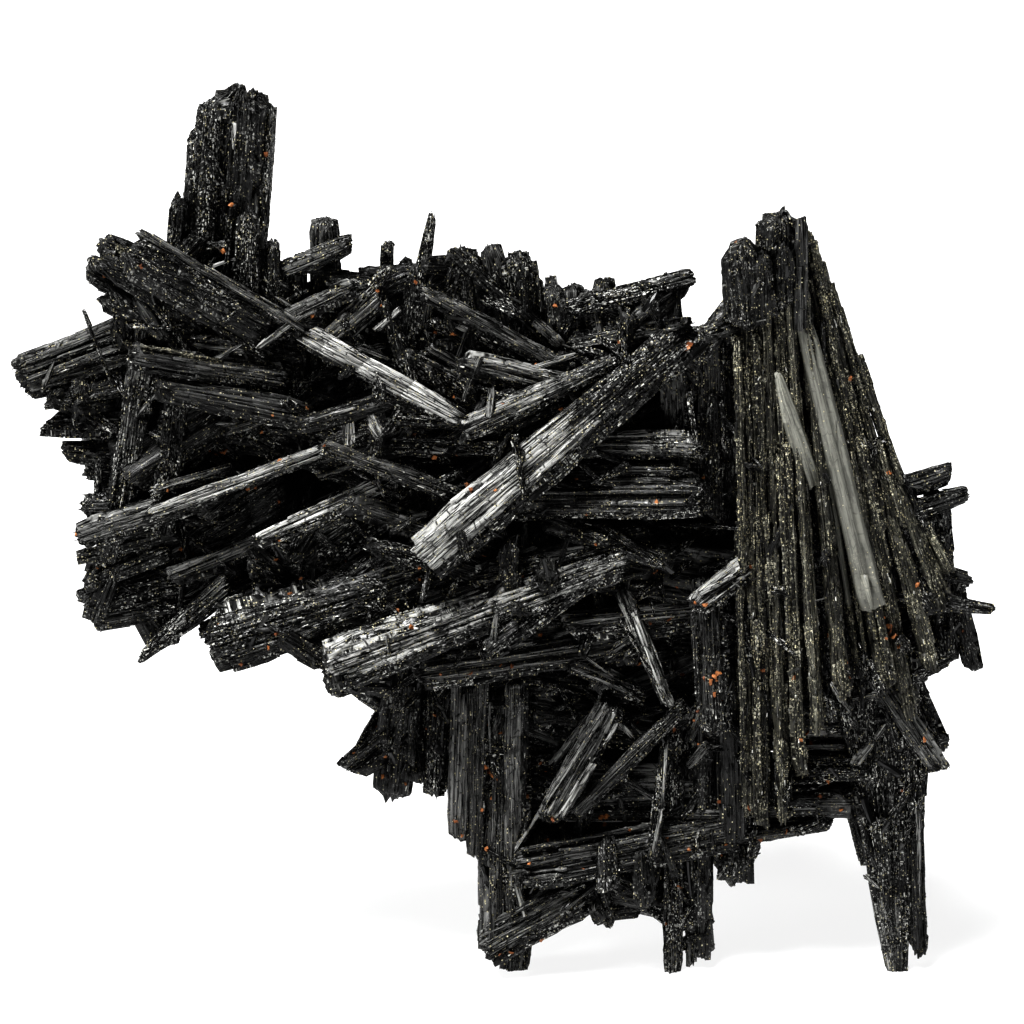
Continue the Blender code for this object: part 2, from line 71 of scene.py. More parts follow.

# %% [markdown]
# Each row is one crystal: its buried tail, its free tip, its width and thickness in millimetres,
# its roll in degrees, how wide the tip is beside the tail, and how many thinner rods grow along it
# beside the one that every crystal has. A last value may give its look: a finish, or the painted sheen
# of its lit faces: how strong it is at the tail and at the tip, and how bright. The groups follow the
# cluster from the left arm to the feet. The last four groups fill the middle and the far side.

# %% The list of crystals
# The second finish is pale all over: a painted sheen.
BLACK, PALE_SHEEN, OLIVE, SATIN, DARK = range(5)
LEFT_ARM = [
    ((-42, 80.2, 6), (-58.8, 73.7, 2), 4.8, 4.8, 20, 0.90, 1, (0.9, 1.1, 0.3)),
    ((-42, 76.8, 6), (-58.4, 71.6, 3), 4.4, 4.4, 5, 0.95, 0),
    ((-42, 72.8, 5), (-55.4, 69.8, 2), 3.4, 3.2, 0, 0.60, 0),
    ((-42, 67.4, 6), (-55.6, 67.0, 4), 4.6, 3.6, -10, 0.80, 0),
    ((-42, 63.0, 7), (-53.4, 63.8, 4), 4.0, 3.4, 10, 0.80, 0),
    ((-41, 60, 7), (-50.6, 61.4, 5), 3.2, 3.2, 0, 0.80, 0),
    ((-40, 57.4, 5), (-50.8, 57.2, 3), 3.6, 3.4, 0, 0.90, 0),
    ((-30, 76, 5), (-49.4, 87.2, 1), 7.0, 7.0, 30, 0.90, 0, DARK),
    ((-30, 80.4, 6), (-48.6, 89.6, 2), 4.2, 4.6, 20, 0.90, 0),
    ((-40, 80, 4), (-50.4, 85.6, 2), 3.2, 3.4, 0, 0.90, 0),
    ((-34, 76, 3), (-48.6, 82.2, 1), 4.6, 4.4, 15, 0.85, 0, DARK),
    ((-29, 79, 2), (-45.5, 87.6, -2), 7.0, 3.4, 0, 0.85, 0, DARK),
    ((-24, 78.6, 1), (-44.2, 90.4, 0), 1.6, 3.4, 0, 0.90, 0, (1.0, 1.0, 0.35)),
    ((-27, 72.4, 3), (-45.0, 75.2, -3), 4.6, 4.4, 10, 0.90, 1, (0.9, 0.9, 0.2)),
    ((-24, 68, 2), (-42.0, 71.4, -2), 4.4, 5.0, 20, 0.85, 0),
    ((-43, 80, 4), (-46.8, 57.0, 2), 4.8, 5.0, 10, 0.90, 0),
    ((-39, 78, 3), (-41.6, 54.0, 1), 4.2, 4.6, -15, 0.90, 0),
]
TALL = [
    ((-34.8, 74, 10), (-31.7, 107.2, 9), 9.5, 8.6, 12, 1.02, 0, DARK),
    ((-33.4, 74, 9), (-30.6, 106.9, 9), 6.0, 7.6, 10, 1.02, 0, BLACK),
    ((-37.6, 74, 10), (-35.2, 105.9, 9), 4.8, 6.4, 10, 0.95, 0, BLACK),
    ((-38.6, 78, 10), (-37.0, 102.4, 9), 3.4, 4.6, 0, 0.85, 0, BLACK),
    ((-40.6, 78, 9), (-39.4, 94.4, 8), 3.6, 4.6, 10, 0.70, 0, BLACK),
    ((-30.0, 82, 9), (-28.1, 105.4, 9), 1.6, 6.0, 0, 1.00, 0, BLACK),
    ((-31.6, 74, 5), (-30.9, 92.4, 4), 3.8, 4.4, 10, 0.95, 0, BLACK),
    ((-28.2, 74, 6), (-27.9, 89.4, 5), 2.1, 3.4, 0, 0.95, 0, DARK),
]
TOP = [
    ((-2, 72, 7), (-4.6, 87.6, 6), 5.0, 5.0, 10, 0.90, 0),
    ((4, 72, 7), (1.6, 87.2, 6), 5.4, 5.0, 10, 0.80, 0),
    ((8, 72, 7), (6.2, 83.8, 6), 4.6, 5.0, 0, 0.90, 0),
    ((12, 72, 7), (11.2, 82.8, 6), 4.4, 5.0, 10, 0.90, 0),
    ((12.6, 76, 4), (19.2, 82.8, 3), 2.4, 3.0, 10, 0.90, 0),
    ((-10, 72, 7), (-12.4, 83.0, 6), 4.0, 5.0, 0, 0.90, 0),
    ((-30, 83, 8), (-8, 80.5, 8), 5.0, 5.0, 0, 0.90, 0),
    ((-21.6, 74, 8), (-21.7, 91.8, 7), 4.8, 3.8, 10, 0.95, 0),
    ((-10, 76, 6), (-8.6, 86.4, 5), 2.2, 3.0, 0, 0.80, 0),
    ((18, 77, 6), (29, 76.4, 5), 4.0, 4.0, 0, 0.90, 0),
    ((-25.6, 74, 7), (-25.6, 87.2, 6), 4.0, 3.8, 10, 0.95, 0),
    ((-26.8, 85.6, 5), (-18.7, 89.0, 4), 3.2, 2.4, 10, 1.05, 0, (0.7, 0.7, 0.25)),
    ((-28, 86.6, 6), (-16.2, 84.6, 5), 1.3, 1.6, 0, 0.90, 0),
    ((-28, 79.0, 5), (-18.2, 83.6, 2), 3.4, 3.4, 20, 0.95, 0, (0.9, 1.0, 0.25)),
    ((-22, 76.5, 4), (-14.6, 82.9, 2), 4.0, 3.8, 15, 0.95, 0, (0.8, 1.0, 0.35)),
    ((-19, 79.4, 3), (-13.8, 86.2, 2), 2.0, 2.2, 10, 0.95, 0),
    ((-14, 74, 7), (-14.0, 88.9, 6), 2.2, 2.4, 0, 0.95, 0),
    ((-12.0, 74, 4), (-8.5, 92.2, 4), 3.0, 2.6, 0, 0.45, 0),
    ((-12.8, 74, 4), (-10.6, 86.2, 4), 3.2, 2.4, 0, 0.60, 0),
    ((-11.2, 72, 2), (-14.4, 82.0, 1), 2.4, 2.4, 0, 0.90, 0),
    ((-4, 74, 5), (-5.4, 87.8, 5), 5.0, 4.0, 0, 0.60, 0),
    ((7, 76.5, 4), (-6.1, 88.0, 3), 2.2, 3.0, 0, 0.85, 0),
    ((10, 72.4, 3), (-9.8, 83.2, 0), 2.8, 3.4, 15, 0.90, 1, (0.7, 0.9, 0.3)),
    ((2, 74, 7), (-1.6, 88.4, 7), 4.4, 3.8, 0, 0.80, 0),
    ((5, 72, 8), (2.6, 86.2, 7), 4.8, 4.4, 10, 0.85, 0),
    ((8, 71.4, 1), (-4.8, 74.7, -2), 4.2, 3.6, 10, 0.95, 0, (0.6, 1.1, 0.45)),
    ((-2, 69.4, 3), (-12.4, 75.6, 1), 3.4, 3.6, 10, 0.90, 0),
    ((8, 72, 8), (8.2, 83.6, 7), 5.0, 5.0, 15, 0.85, 0),
    ((12.4, 72, 7), (12.3, 84.4, 6), 3.8, 3.8, 0, 0.85, 0),
    ((8, 81.0, 5), (23.2, 84.9, 3), 3.0, 2.6, 10, 0.90, 0),
    ((8, 76.6, 5), (22.2, 79.0, 2), 3.6, 4.0, 10, 0.95, 0),
    ((16, 81.4, 5), (25.0, 76.8, 3), 2.2, 2.6, 0, 0.90, 0),
    ((14, 69, 3), (15.4, 80.4, 2), 3.2, 3.2, 0, 0.90, 0),
    ((25.8, 56, 2), (25.4, 78.0, 2), 4.6, 4.2, 0, 0.85, 0),
    ((21.6, 58, 3), (21.0, 77.4, 2), 4.6, 4.2, 10, 0.90, 0),
]
CROSSING = [
    ((21.4, 77.0, 0), (-9.5, 50.9, -6), 6.9, 5.6, 12, 1.22, 0, (-0.4, 1.9, 0.90)),
    ((-24, 77.8, 2), (-5.4, 67.8, -4), 3.8, 3.8, 15, 0.85, 0, (0.9, 1.2, 0.9)),
    ((-13, 70.2, 0), (-24.6, 66.8, -3), 3.0, 3.0, 10, 0.90, 0),
    ((-14.2, 71, 0), (-16.2, 61.8, -2), 2.2, 2.4, 0, 0.90, 0),
    ((-1, 67, 1), (-14.2, 67.6, -1), 2.0, 2.6, 0, 0.90, 0),
    ((0, 64, 1), (-13.6, 64.0, -1), 2.4, 2.8, 10, 0.90, 0),
    ((13.5, 74.6, 0), (-5.2, 66.2, -5), 2.8, 3.4, 10, 1.35, 0, (0.3, 1.0, 0.6)),
    ((3, 58.4, 1), (23.8, 58.6, -3), 7.6, 6.0, 10, 0.95, 2, (0.8, 0.9, 0.12)),
    ((6, 64.6, 1), (24.0, 64.2, -2), 4.2, 4.4, 20, 0.90, 0),
    ((11.6, 54.8, -1), (19.6, 49.6, -4), 1.6, 1.8, 0, 0.60, 0),
    ((5, 55.2, 0), (20.4, 50.4, -2), 3.8, 3.8, 10, 0.90, 0),
    ((30, 49.9, 0), (23.4, 44.8, -5), 3.8, 3.8, 15, 1.00, 0, (1.0, 1.0, 0.8)),
    ((18, 53, 1), (-3.4, 48.4, -3), 4.6, 4.4, 10, 0.90, 0),
]
CENTRE = [
    ((-8, 44, 3), (-28.6, 40.6, 1), 4.0, 5.0, 0, 0.90, 0),
    ((-2, 60, 6), (-10, 52, 5), 4.0, 5.0, 0, 0.90, 0),
    ((12, 62, 8), (30, 48, 8), 8.0, 5.0, 0, 0.90, 0),
    ((18, 66, 8), (30, 78, 6), 6.0, 5.0, 0, 0.90, 0),
    ((14.5, 50.2, -2), (-21.6, 37.1, -7), 5.2, 5.2, 10, 1.65, 0, (0.42, 0.62, 0.80)),
    ((10, 47.8, -3), (-1.8, 39.4, -8), 3.4, 3.6, 0, 1.00, 0),
    ((14, 40, 1), (-10.5, 36.4, -3), 5.2, 5.0, 10, 0.90, 0),
    ((-11, 48.0, 1), (-35.0, 40.9, -4), 8.4, 8.0, 15, 1.10, 2, (0.7, 0.3, 0.2)),
    ((-26, 45.6, 3), (-36.4, 41.0, 0), 5.0, 4.6, 0, 0.80, 0),
    ((-21, 64.0, 1), (-43.5, 55.8, -3), 2.3, 3.2, 10, 0.90, 0, (1.1, 1.0, 0.9)),
    ((-33, 61.6, 2), (-42.6, 58.9, -1), 2.0, 2.6, 0, 0.90, 0),
    ((-35, 58.8, 2), (-51.6, 53.4, -1), 4.8, 4.2, 10, 0.95, 1, (1.0, 1.0, 0.35)),
    ((-40, 54, 3), (-51.8, 51.0, 0), 3.4, 3.4, 0, 0.90, 0),
    ((-41, 52.0, 2), (-50.8, 47.8, 0), 3.8, 3.0, 0, 0.90, 0),
    ((-33, 50.0, 4), (-51.0, 45.2, 2), 4.8, 5.2, 15, 0.90, 0),
    ((-34, 46.0, 4), (-50.0, 43.2, 2), 4.0, 3.8, 5, 0.90, 0),
    ((-33.6, 47.4, 1), (-44.0, 38.8, -1), 4.4, 3.6, 10, 0.40, 0),
    ((-29, 52.6, 4), (-40.3, 48.2, -1), 3.2, 4.2, 10, 0.95, 0),
    ((-15, 59.4, 0), (-30.0, 52.8, -4), 3.4, 3.4, 15, 0.95, 1, (1.1, 0.9, 0.8)),
    ((-3, 57.6, 0), (-22.0, 64.4, -4), 3.2, 3.6, 10, 0.80, 0, (0.2, 1.0, 0.3)),
    ((-2, 51.8, 0), (-18.6, 57.4, -3), 3.8, 3.8, 0, 0.90, 0),
    ((-1, 47.8, -1), (-16.4, 52.4, -4), 3.2, 3.6, 10, 0.90, 0),
    ((25, 44, 2), (8.0, 42.4, -2), 5.2, 5.0, 0, 0.90, 0),
    ((25, 48, 0), (25.8, 29.6, -3), 5.0, 4.6, 10, 0.90, 0),
]
SPIRE = [
    ((30.2, 20, 0), (29.4, 84.0, 1), 3.4, 4.0, 0, 0.80, 0),
    ((31.8, 17.8, -1), (30.6, 86.4, 0), 2.6, 4.0, 15, 0.85, 0),
    ((34.4, 18.6, -2), (32.0, 86.0, 0), 2.6, 4.0, -10, 0.85, 0),
    ((36.4, 24.0, -3), (33.2, 88.0, -1), 2.2, 4.2, 10, 0.80, 0),
    ((38.6, 30.0, -4), (34.4, 88.6, -1), 2.2, 4.4, -10, 0.75, 0),
    ((41.4, 34.0, -4), (35.6, 90.0, 0), 3.0, 4.4, 10, 0.60, 0),
    ((47.0, 35.0, -3), (37.7, 89.4, 1), 3.4, 4.6, 10, 0.50, 0),
    ((49.8, 32.0, -1), (38.8, 86.6, 2), 3.2, 4.6, -10, 0.45, 0),
    ((52.6, 37.0, 0), (40.2, 81.8, 3), 3.2, 4.6, 10, 0.45, 0),
    ((53.8, 45.0, 1), (42.7, 75.6, 4), 2.6, 4.4, -10, 0.45, 0),
    ((53.2, 47.0, 1), (46.4, 64.4, 4), 2.4, 4.0, 10, 0.50, 0),
    ((54.6, 49.0, 2), (47.4, 62.6, 4), 2.4, 4.0, 10, 0.50, 0),
    ((33.4, 81.0, 0), (33.9, 92.4, -1), 7.4, 6.4, 15, 0.96, 0, DARK),
    ((40.4, 62.0, 3), (36.9, 90.6, 3), 2.6, 3.4, 10, 0.80, 0),
    ((30.2, 80.0, -1), (29.3, 89.4, -2), 5.4, 5.4, 20, 0.90, 0, DARK),
    ((28.7, 79.4, -1), (27.7, 87.6, -2), 4.6, 4.6, 20, 0.80, 0, DARK),
    ((31.8, 80.5, -2), (31.6, 87.4, -3.5), 4.8, 4.6, 20, 0.70, 0, DARK),
    ((34.6, 82.0, -2), (34.2, 88.6, -3.5), 3.6, 3.6, 20, 0.70, 0, DARK),
]
RIGHT = [
    ((46, 58.4, 4), (54.4, 61.0, 3), 3.8, 3.0, 0, 0.80, 0),
    ((47, 55.4, 3), (56.6, 58.6, 2), 3.2, 3.4, 15, 0.80, 0),
    ((52.6, 59, 4), (54.4, 38.2, 3), 3.8, 4.2, 10, 0.90, 0),
    ((49, 50, 4), (56.7, 48.0, 4), 3.2, 3.4, 0, 0.80, 0),
    ((48, 45.8, 2), (59.7, 44.4, 0), 2.9, 2.6, 10, 0.60, 0),
    ((55.0, 48.4, 4), (57.6, 37.0, 3), 3.0, 3.4, 0, 0.95, 0),
    ((45, 33.6, 0), (54.6, 38.3, -1), 2.0, 2.4, 0, 0.90, 0),
    ((48.6, 38, 3), (53.4, 27.4, 2), 4.4, 5.0, 20, 0.85, 0),
    ((45.2, 36.4, 0), (53.2, 25.0, -2), 3.8, 4.0, 10, 0.85, 1),
    ((30, 20.6, 2), (42.0, 20.8, 0), 5.0, 5.0, 10, 0.95, 0),
    ((30, 25.0, 2), (44.4, 25.0, 0), 4.6, 4.4, 0, 0.90, 0),
    ((25, 15.9, 3), (39.8, 18.3, 1), 3.0, 5.0, 0, 0.75, 0),
]
LEGS = [
    ((44.8, 40, 2), (48.5, -1.5, 0), 12.6, 7.0, 10, 0.24, 2, (-0.2, 0.5, 0.5)),
    ((49.4, 36, 1), (51.1, 2.4, 1), 3.6, 4.0, 10, 0.72, 1),
    ((20.8, 30, 3), (20.9, -1.5, 0), 3.2, 3.6, 10, 0.85, 0),
    ((23.0, 28, 4), (23.2, 0.9, 1), 2.8, 3.2, 0, 0.90, 0),
    ((24.4, 32, 3), (24.5, 2.0, 1), 3.0, 3.4, 10, 0.95, 0),
    ((0.0, 34, 3), (-0.5, 2.4, -2), 7.0, 6.0, 10, 0.98, 0),
    ((10.0, 10.0, -1), (-1.8, 3.4, -2), 6.6, 5.8, 20, 1.00, 1, (0.9, 0.9, 0.3)),
    ((3.2, 18, 4), (1.2, -1.5, 1), 6.0, 7.0, 10, 0.60, 0),
    ((2, 56, 10), (2.6, 10.6, 38), 8.4, 7.4, 10, 0.60, 0),
    ((16, 42, 12), (6.0, 14.0, 34), 6.4, 6.0, 0, 0.70, 0),
    ((31, 50, 14), (20.6, 11.4, 42), 8.4, 7.6, 15, 0.60, 0),
    ((14, 38, 14), (24.0, 18.0, 36), 6.0, 6.0, 0, 0.80, 0),
    ((38, 54, 10), (46.8, 10.6, 37), 8.4, 7.0, 0, 0.55, 0),
    ((46, 46, 8), (47.6, 16.0, 26), 6.0, 6.0, 10, 0.80, 0),
]
BOTTOM = [
    ((-10, 38, 6), (-20.6, 34.8, 5), 3.4, 3.0, 0, 0.90, 0),
    ((-12, 36, 6), (-14.6, 29.0, 4), 5.6, 5.0, 10, 0.90, 0),
    ((-8, 36, 7), (-8.4, 23.0, 6), 5.0, 5.0, 0, 0.90, 0),
    ((-11.6, 40, 3), (-13.8, 22.0, 1), 7.0, 5.4, -15, 0.92, 0),
    ((-11, 31, 2), (-18.8, 25.0, 0), 5.4, 4.6, 10, 0.80, 0),
    ((-7.6, 40, 2), (-8.5, 21.8, -1), 3.6, 4.2, 0, 0.85, 0),
    ((-5.0, 38, 1), (-5.6, 16.6, -2), 3.4, 4.2, 10, 0.90, 0),
    ((-2.8, 38, 1), (-3.5, 14.2, -2), 3.0, 3.8, -10, 0.85, 0),
    ((1.6, 36, 0), (1.2, 9.6, -2), 3.6, 4.2, 10, 0.90, 0),
    ((13.4, 33.0, 0), (5.4, 19.0, -4), 4.8, 4.6, 35, 0.85, 1, (0.6, 1.0, 0.35)),
    ((22.4, 32.8, 0), (8.8, 19.4, -4), 2.4, 3.0, 0, 0.95, 0),
    ((17.0, 33.9, 2), (8.1, 37.8, -2), 2.4, 3.4, 10, 0.95, 0),
    ((14.6, 46.6, -1), (20.2, 32.8, -4), 2.6, 3.0, 20, 0.75, 0, PALE_SHEEN),
    ((27.5, 17.4, 2), (2.4, 12.6, -4), 6.2, 5.6, 10, 1.00, 2, (0.6, 0.9, 0.18)),
    ((11, 15, 3), (13.2, 5.8, 1), 4.0, 4.0, 0, 0.60, 0),
    ((10, 10.6, 4), (21.0, 8.0, 3), 5.0, 4.4, 0, 0.90, 0),
    ((25.2, 15.6, 3), (28.4, 10.6, 2), 1.8, 2.2, 0, 0.90, 0),
    ((31.8, 18.4, 3), (29.0, 10.9, 2), 2.0, 2.4, 0, 0.90, 0),
    ((20.0, 29.4, 0), (18.3, 13.7, -4), 1.6, 2.0, 0, 0.90, 0),
    ((27.8, 38, 2), (28.4, 16.4, 1), 5.0, 4.6, 0, 0.90, 0),
]
INNER = [
    ((-46, 62, 4), (-30, 72, 8), 10.0, 9.0, 0, 0.90, 0),
    ((-28, 60, 8), (-47, 49, 5), 9.0, 8.4, 20, 0.90, 0),
    ((-44, 78, 5), (-24, 74, 8), 9.0, 8.0, 0, 0.90, 0),
    ((-34, 70, 6), (-14, 60, 4), 9.0, 8.0, 30, 0.90, 0),
    ((-26, 50, 4), (-8, 62, 4), 9.0, 8.0, 10, 0.90, 0),
    ((-22, 78, 6), (2, 74, 5), 8.0, 8.0, 0, 0.90, 0),
    ((-6, 66, 4), (16, 76, 5), 8.4, 8.0, 10, 0.90, 0),
    ((-10, 53, 2), (14, 70, 3), 9.6, 8.0, 20, 0.90, 0),
    ((-24, 63, 4), (-2, 69, 4), 7.0, 6.0, 0, 0.90, 0),
    ((-14, 44, 3), (8, 52, 3), 9.0, 7.0, 20, 0.90, 0),
    ((-10, 40, 3), (16, 42, 3), 8.0, 7.0, 0, 0.90, 0),
    ((8, 62, 4), (26, 66, 4), 9.0, 7.0, 10, 0.90, 0),
    ((6, 52, 3), (30, 48, 3), 9.0, 7.0, 30, 0.90, 0),
    ((-6, 34, 4), (18, 30, 4), 9.0, 7.0, 0, 0.90, 0),
    ((2, 22, 4), (28, 22, 4), 9.6, 7.0, 20, 0.90, 0),
    ((32, 30, 4), (33, 84, 4), 7.0, 7.0, 0, 0.80, 0),
    ((42, 34, 4), (38, 76, 5), 9.0, 7.0, 20, 0.60, 0),
    ((24, 30, 3), (46, 30, 4), 8.0, 7.0, 10, 0.90, 0),
]
FILLERS = [
    ((28.0, 75, 5), (28.6, 58, 5), 6.0, 5.0, 0, 0.90, 0),
    ((5, 46, 7), (26, 45, 7), 7.0, 5.0, 0, 0.90, 0),
    ((35, 27, 6), (46, 27, 6), 6.0, 5.0, 0, 0.90, 0),
    ((-12, 62, 10), (24, 74, 12), 9.0, 6.0, 0, 0.90, 0),
    ((4, 56, 12), (28, 50, 12), 9.0, 6.0, 0, 0.90, 0),
    ((-2, 26, 10), (30, 28, 10), 9.0, 6.0, 0, 0.90, 0),
    ((2, 17, 8), (26, 18, 8), 7.0, 6.0, 0, 0.90, 0),
    ((-6, 42, 10), (24, 40, 10), 9.0, 6.0, 0, 0.90, 0),
    ((37.5, 50, 5), (35.4, 90, 4), 6.0, 5.0, 0, 0.80, 0),
    ((30, 20, 6), (48, 24, 6), 7.0, 6.0, 0, 0.90, 0),
    ((44, 40, 6), (55, 46, 5), 7.0, 5.0, 0, 0.90, 0),
    ((-28, 66, 8), (-50, 69, 7), 7.0, 5.0, 0, 0.90, 0),
    ((-28, 58, 8), (-49, 60, 7), 7.0, 5.0, 0, 0.90, 0),
    ((-44, 78, 8), (-50, 62, 7), 7.0, 5.0, 0, 0.90, 0),
    ((-30, 80, 8), (-6, 81, 8), 5.0, 5.0, 0, 0.90, 0),
    ((-8, 78, 8), (22, 76, 8), 7.0, 5.0, 0, 0.90, 0),
]
BACK = [
    ((-44, 57, 10), (-28, 75, 17), 9.0, 8.0, 10, 0.85, 0),
    ((-22, 60, 15), (-47, 47, 9), 8.4, 8.0, 30, 0.85, 0),
    ((-18, 60, 18), (-44, 72, 12), 8.4, 8.0, 20, 0.85, 0),
    ((-18, 72, 15), (-42, 83, 11), 7.6, 7.0, 0, 0.85, 0),
    ((-8, 56, 17), (-34, 47, 9), 8.4, 8.0, 40, 0.85, 0),
    ((-26, 69, 10), (2, 79, 14), 8.4, 8.0, 15, 0.85, 0),
    ((-14, 60, 10), (16, 73, 13), 9.0, 8.6, 25, 0.85, 0),
    ((-4, 76, 13), (22, 66, 18), 8.4, 8.0, 10, 0.85, 0),
    ((16, 57, 11), (-15, 44, 14), 9.4, 9.0, 20, 0.85, 0),
    ((12, 47, 12), (-11, 36, 16), 9.0, 8.4, 0, 0.85, 0),
    ((4, 52, 9), (36, 60, 12), 9.4, 9.0, 30, 0.85, 0),
    ((6, 30, 10), (34, 42, 12), 11.0, 9.0, 20, 0.85, 0),
    ((20, 40, 14), (-4, 26, 12), 8.4, 8.0, 0, 0.85, 0),
    ((32, 29, 10), (6, 20, 10), 8.4, 8.0, 15, 0.85, 0),
    ((36, 36, 10), (31, 84, 6), 9.4, 9.0, 0, 0.60, 0),
    ((46, 34, 10), (37, 78, 8), 9.4, 9.0, 20, 0.60, 0),
    ((47, 36, 8), (42, 66, 10), 8.4, 9.0, 0, 0.70, 0),
    ((30, 62, 17), (37, 24, 16), 9.0, 8.4, 30, 0.85, 0),
]
REAR = [
    ((-30, 60, 8), (-44, 66, 34), 7.0, 6.4, 0, 0.85, 0),
    ((-36, 70, 8), (-30, 83, 30), 6.4, 6.0, 10, 0.85, 0),
    ((-40, 58, 8), (-46, 54, 30), 6.0, 5.6, 0, 0.85, 0),
    ((-24, 64, 10), (-26, 73, 38), 7.0, 6.4, 20, 0.85, 0),
    ((-8, 58, 10), (-16, 61, 42), 8.0, 7.0, 0, 0.85, 0),
    ((2, 62, 10), (10, 75, 38), 8.0, 7.0, 10, 0.85, 0),
    ((-10, 72, 10), (-6, 81, 34), 6.0, 6.0, 0, 0.85, 0),
    ((0, 46, 8), (-5, 42, 40), 8.0, 7.0, 10, 0.85, 0),
    ((14, 56, 10), (20, 61, 44), 8.0, 7.0, 0, 0.85, 0),
    ((10, 46, 10), (5, 51, 46), 7.0, 7.0, 20, 0.85, 0),
    ((34, 60, 8), (30, 72, 36), 7.0, 7.0, 0, 0.85, 0),
    ((40, 48, 8), (46, 54, 34), 7.0, 7.0, 10, 0.85, 0),
    ((30, 50, 10), (27, 45, 44), 8.0, 7.0, 0, 0.85, 0),
    ((42, 42, 8), (46, 36, 32), 6.0, 6.0, 20, 0.85, 0),
    ((10, 34, 8), (3, 30, 38), 7.0, 7.0, 0, 0.85, 0),
    ((22, 34, 8), (25, 29, 36), 7.0, 6.4, 10, 0.85, 0),
    ((-34, 57, 20), (12, 66, 32), 8.0, 7.0, 20, 0.80, 0),
    ((-10, 74, 18), (26, 49, 34), 8.0, 7.0, 0, 0.80, 0),
    ((30, 78, 12), (13, 36, 32), 8.0, 7.0, 30, 0.80, 0),
    ((-24, 49, 18), (20, 35, 30), 8.0, 7.0, 10, 0.80, 0),
    ((46, 57, 12), (21, 41, 32), 7.0, 7.0, 0, 0.80, 0),
]
# %% [markdown]
# A crystal's section is a polygon of five to seven corners. A modeller could bevel a plain prism,
# but aegirine's faces are never plain: each is a bundle of narrow ribs with a groove on either
# side, and each rib sits a little higher or lower than the next. So the outline is cut at its
# corners and between them, and every rib gets three points: its groove and the two sides of its crest.

# %% The section and its ribs
def outline(sides, width, thick, rng):
    """Corners of the section in millimetres, every second one drawn in."""
    turn = np.arange(sides) * math.tau / sides + rng.uniform(-0.14, 0.14, sides)
    reach = np.where(np.arange(sides) % 2 == 0, 0.5, 0.45) * rng.uniform(0.93, 1.04, sides)
    return np.stack([np.cos(turn) * reach * width, np.sin(turn) * reach * thick], axis=1)


def rib_cuts(corners, rib_width, rng):
    """Where the ribs meet, as distances along the outline, and the outline's length."""
    cuts, start = [], 0.0
    for edge in np.linalg.norm(np.roll(corners, -1, axis=0) - corners, axis=1):
        count = max(1, int(round(edge / rib_width)))
        inner = np.cumsum(rng.lognormal(0.0, 0.5, count))
        cuts.extend(start + edge * np.concatenate([[0.0], inner[:-1] / inner[-1]]))
        start += edge
    return np.array(cuts), start


def on_outline(corners, distance):
    """Positions at the given distances along the outline."""
    edges = np.linalg.norm(np.roll(corners, -1, axis=0) - corners, axis=1)
    starts = np.concatenate([[0.0], np.cumsum(edges)])
    closed = np.vstack([corners, corners[:1]])
    return np.stack([np.interp(distance, starts, closed[:, axis]) for axis in (0, 1)], axis=1)


# %% [markdown]
# Along its length a rib steps up and down and is crossed by short cracks. Often a plate of several
# ribs steps or cracks together, which gives the brick pattern of a broken face, and here and there a
# plate has broken away for good. Each step or crack is three rings close together, so it stays sharp
# with few faces, and the rings between are plain.

# %% Steps, cracks and chips along the ribs
RING_GAP = 0.07
STEP_SHARE, TOGETHER_SHARE = 0.35, 0.55
CRACK_DEPTHS = (0.10, 0.30)
CHIPPED_SHARE, CHIP_DEPTHS = 0.4, (0.05, 0.19)
FEWEST_PLACES, MOST_PLACES = 2, 34


def events(count, places, length, depth, cracked, rng):
    """For each strip: where its steps and cracks are, the step down and the crack's depth."""
    where = (np.arange(places) + 0.5 + rng.uniform(-0.42, 0.42, (count, places))) / places * length
    kind = rng.random((count, places))
    step = np.where(kind < STEP_SHARE, rng.normal(0.0, 0.6, (count, places)) * depth, 0.0)
    crack = np.where((kind > STEP_SHARE) & (kind < STEP_SHARE + cracked),
                     rng.uniform(*CRACK_DEPTHS, (count, places)), 0.0)
    return where, step, crack


def chipped(plates, places, bulk, rng):
    """Plates that have broken away from some place on, and by how much."""
    broken = (rng.random(plates) < CHIPPED_SHARE) * rng.uniform(*CHIP_DEPTHS, plates) * bulk
    place_of = rng.integers(0, places + 1, plates)
    toward_tip = rng.random(plates) < 0.7
    beyond = (np.arange(places + 1)[None] >= place_of[:, None]) == toward_tip[:, None]
    return beyond * broken[:, None]


def rib_relief(plate, length, spacing, depth, bulk, cracked, rng):
    """Ring positions along each rib and how deep the rib lies at each ring."""
    ribs, plates = len(plate), int(plate.max()) + 1
    places = int(np.clip(length / (3.0 * spacing), FEWEST_PLACES, MOST_PLACES))
    own = events(ribs, places, length, depth * 0.7, cracked, rng)
    shared = [values[plate] for values in events(plates, places, length, depth, cracked, rng)]
    together = rng.random((1, places)) < TOGETHER_SHARE
    where, step, crack = (np.where(together, many, single) for many, single in zip(shared, own))
    start = (rng.random(ribs) ** 2 * depth)[:, None]
    after = np.abs(start + np.cumsum(step, axis=1) + depth * 0.4) % (2.4 * depth)
    level = np.concatenate([start, after], axis=1) + chipped(plates, places, bulk, rng)[plate]
    before, after = level[:, :-1], level[:, 1:]
    wide = np.where((step == 0.0) & (crack == 0.0), length / places * 0.25, RING_GAP)
    along = np.stack([where - wide, where, where + wide], axis=2).reshape(ribs, -1)
    deep = np.stack([before, after + crack, after], axis=2).reshape(ribs, -1)
    along = np.concatenate([np.zeros((ribs, 1)), along, np.full((ribs, 1), length)], axis=1)
    deep = np.concatenate([before[:, :1], deep, after[:, -1:]], axis=1)
    return np.clip(np.maximum.accumulate(along, axis=1), 0.0, length), deep


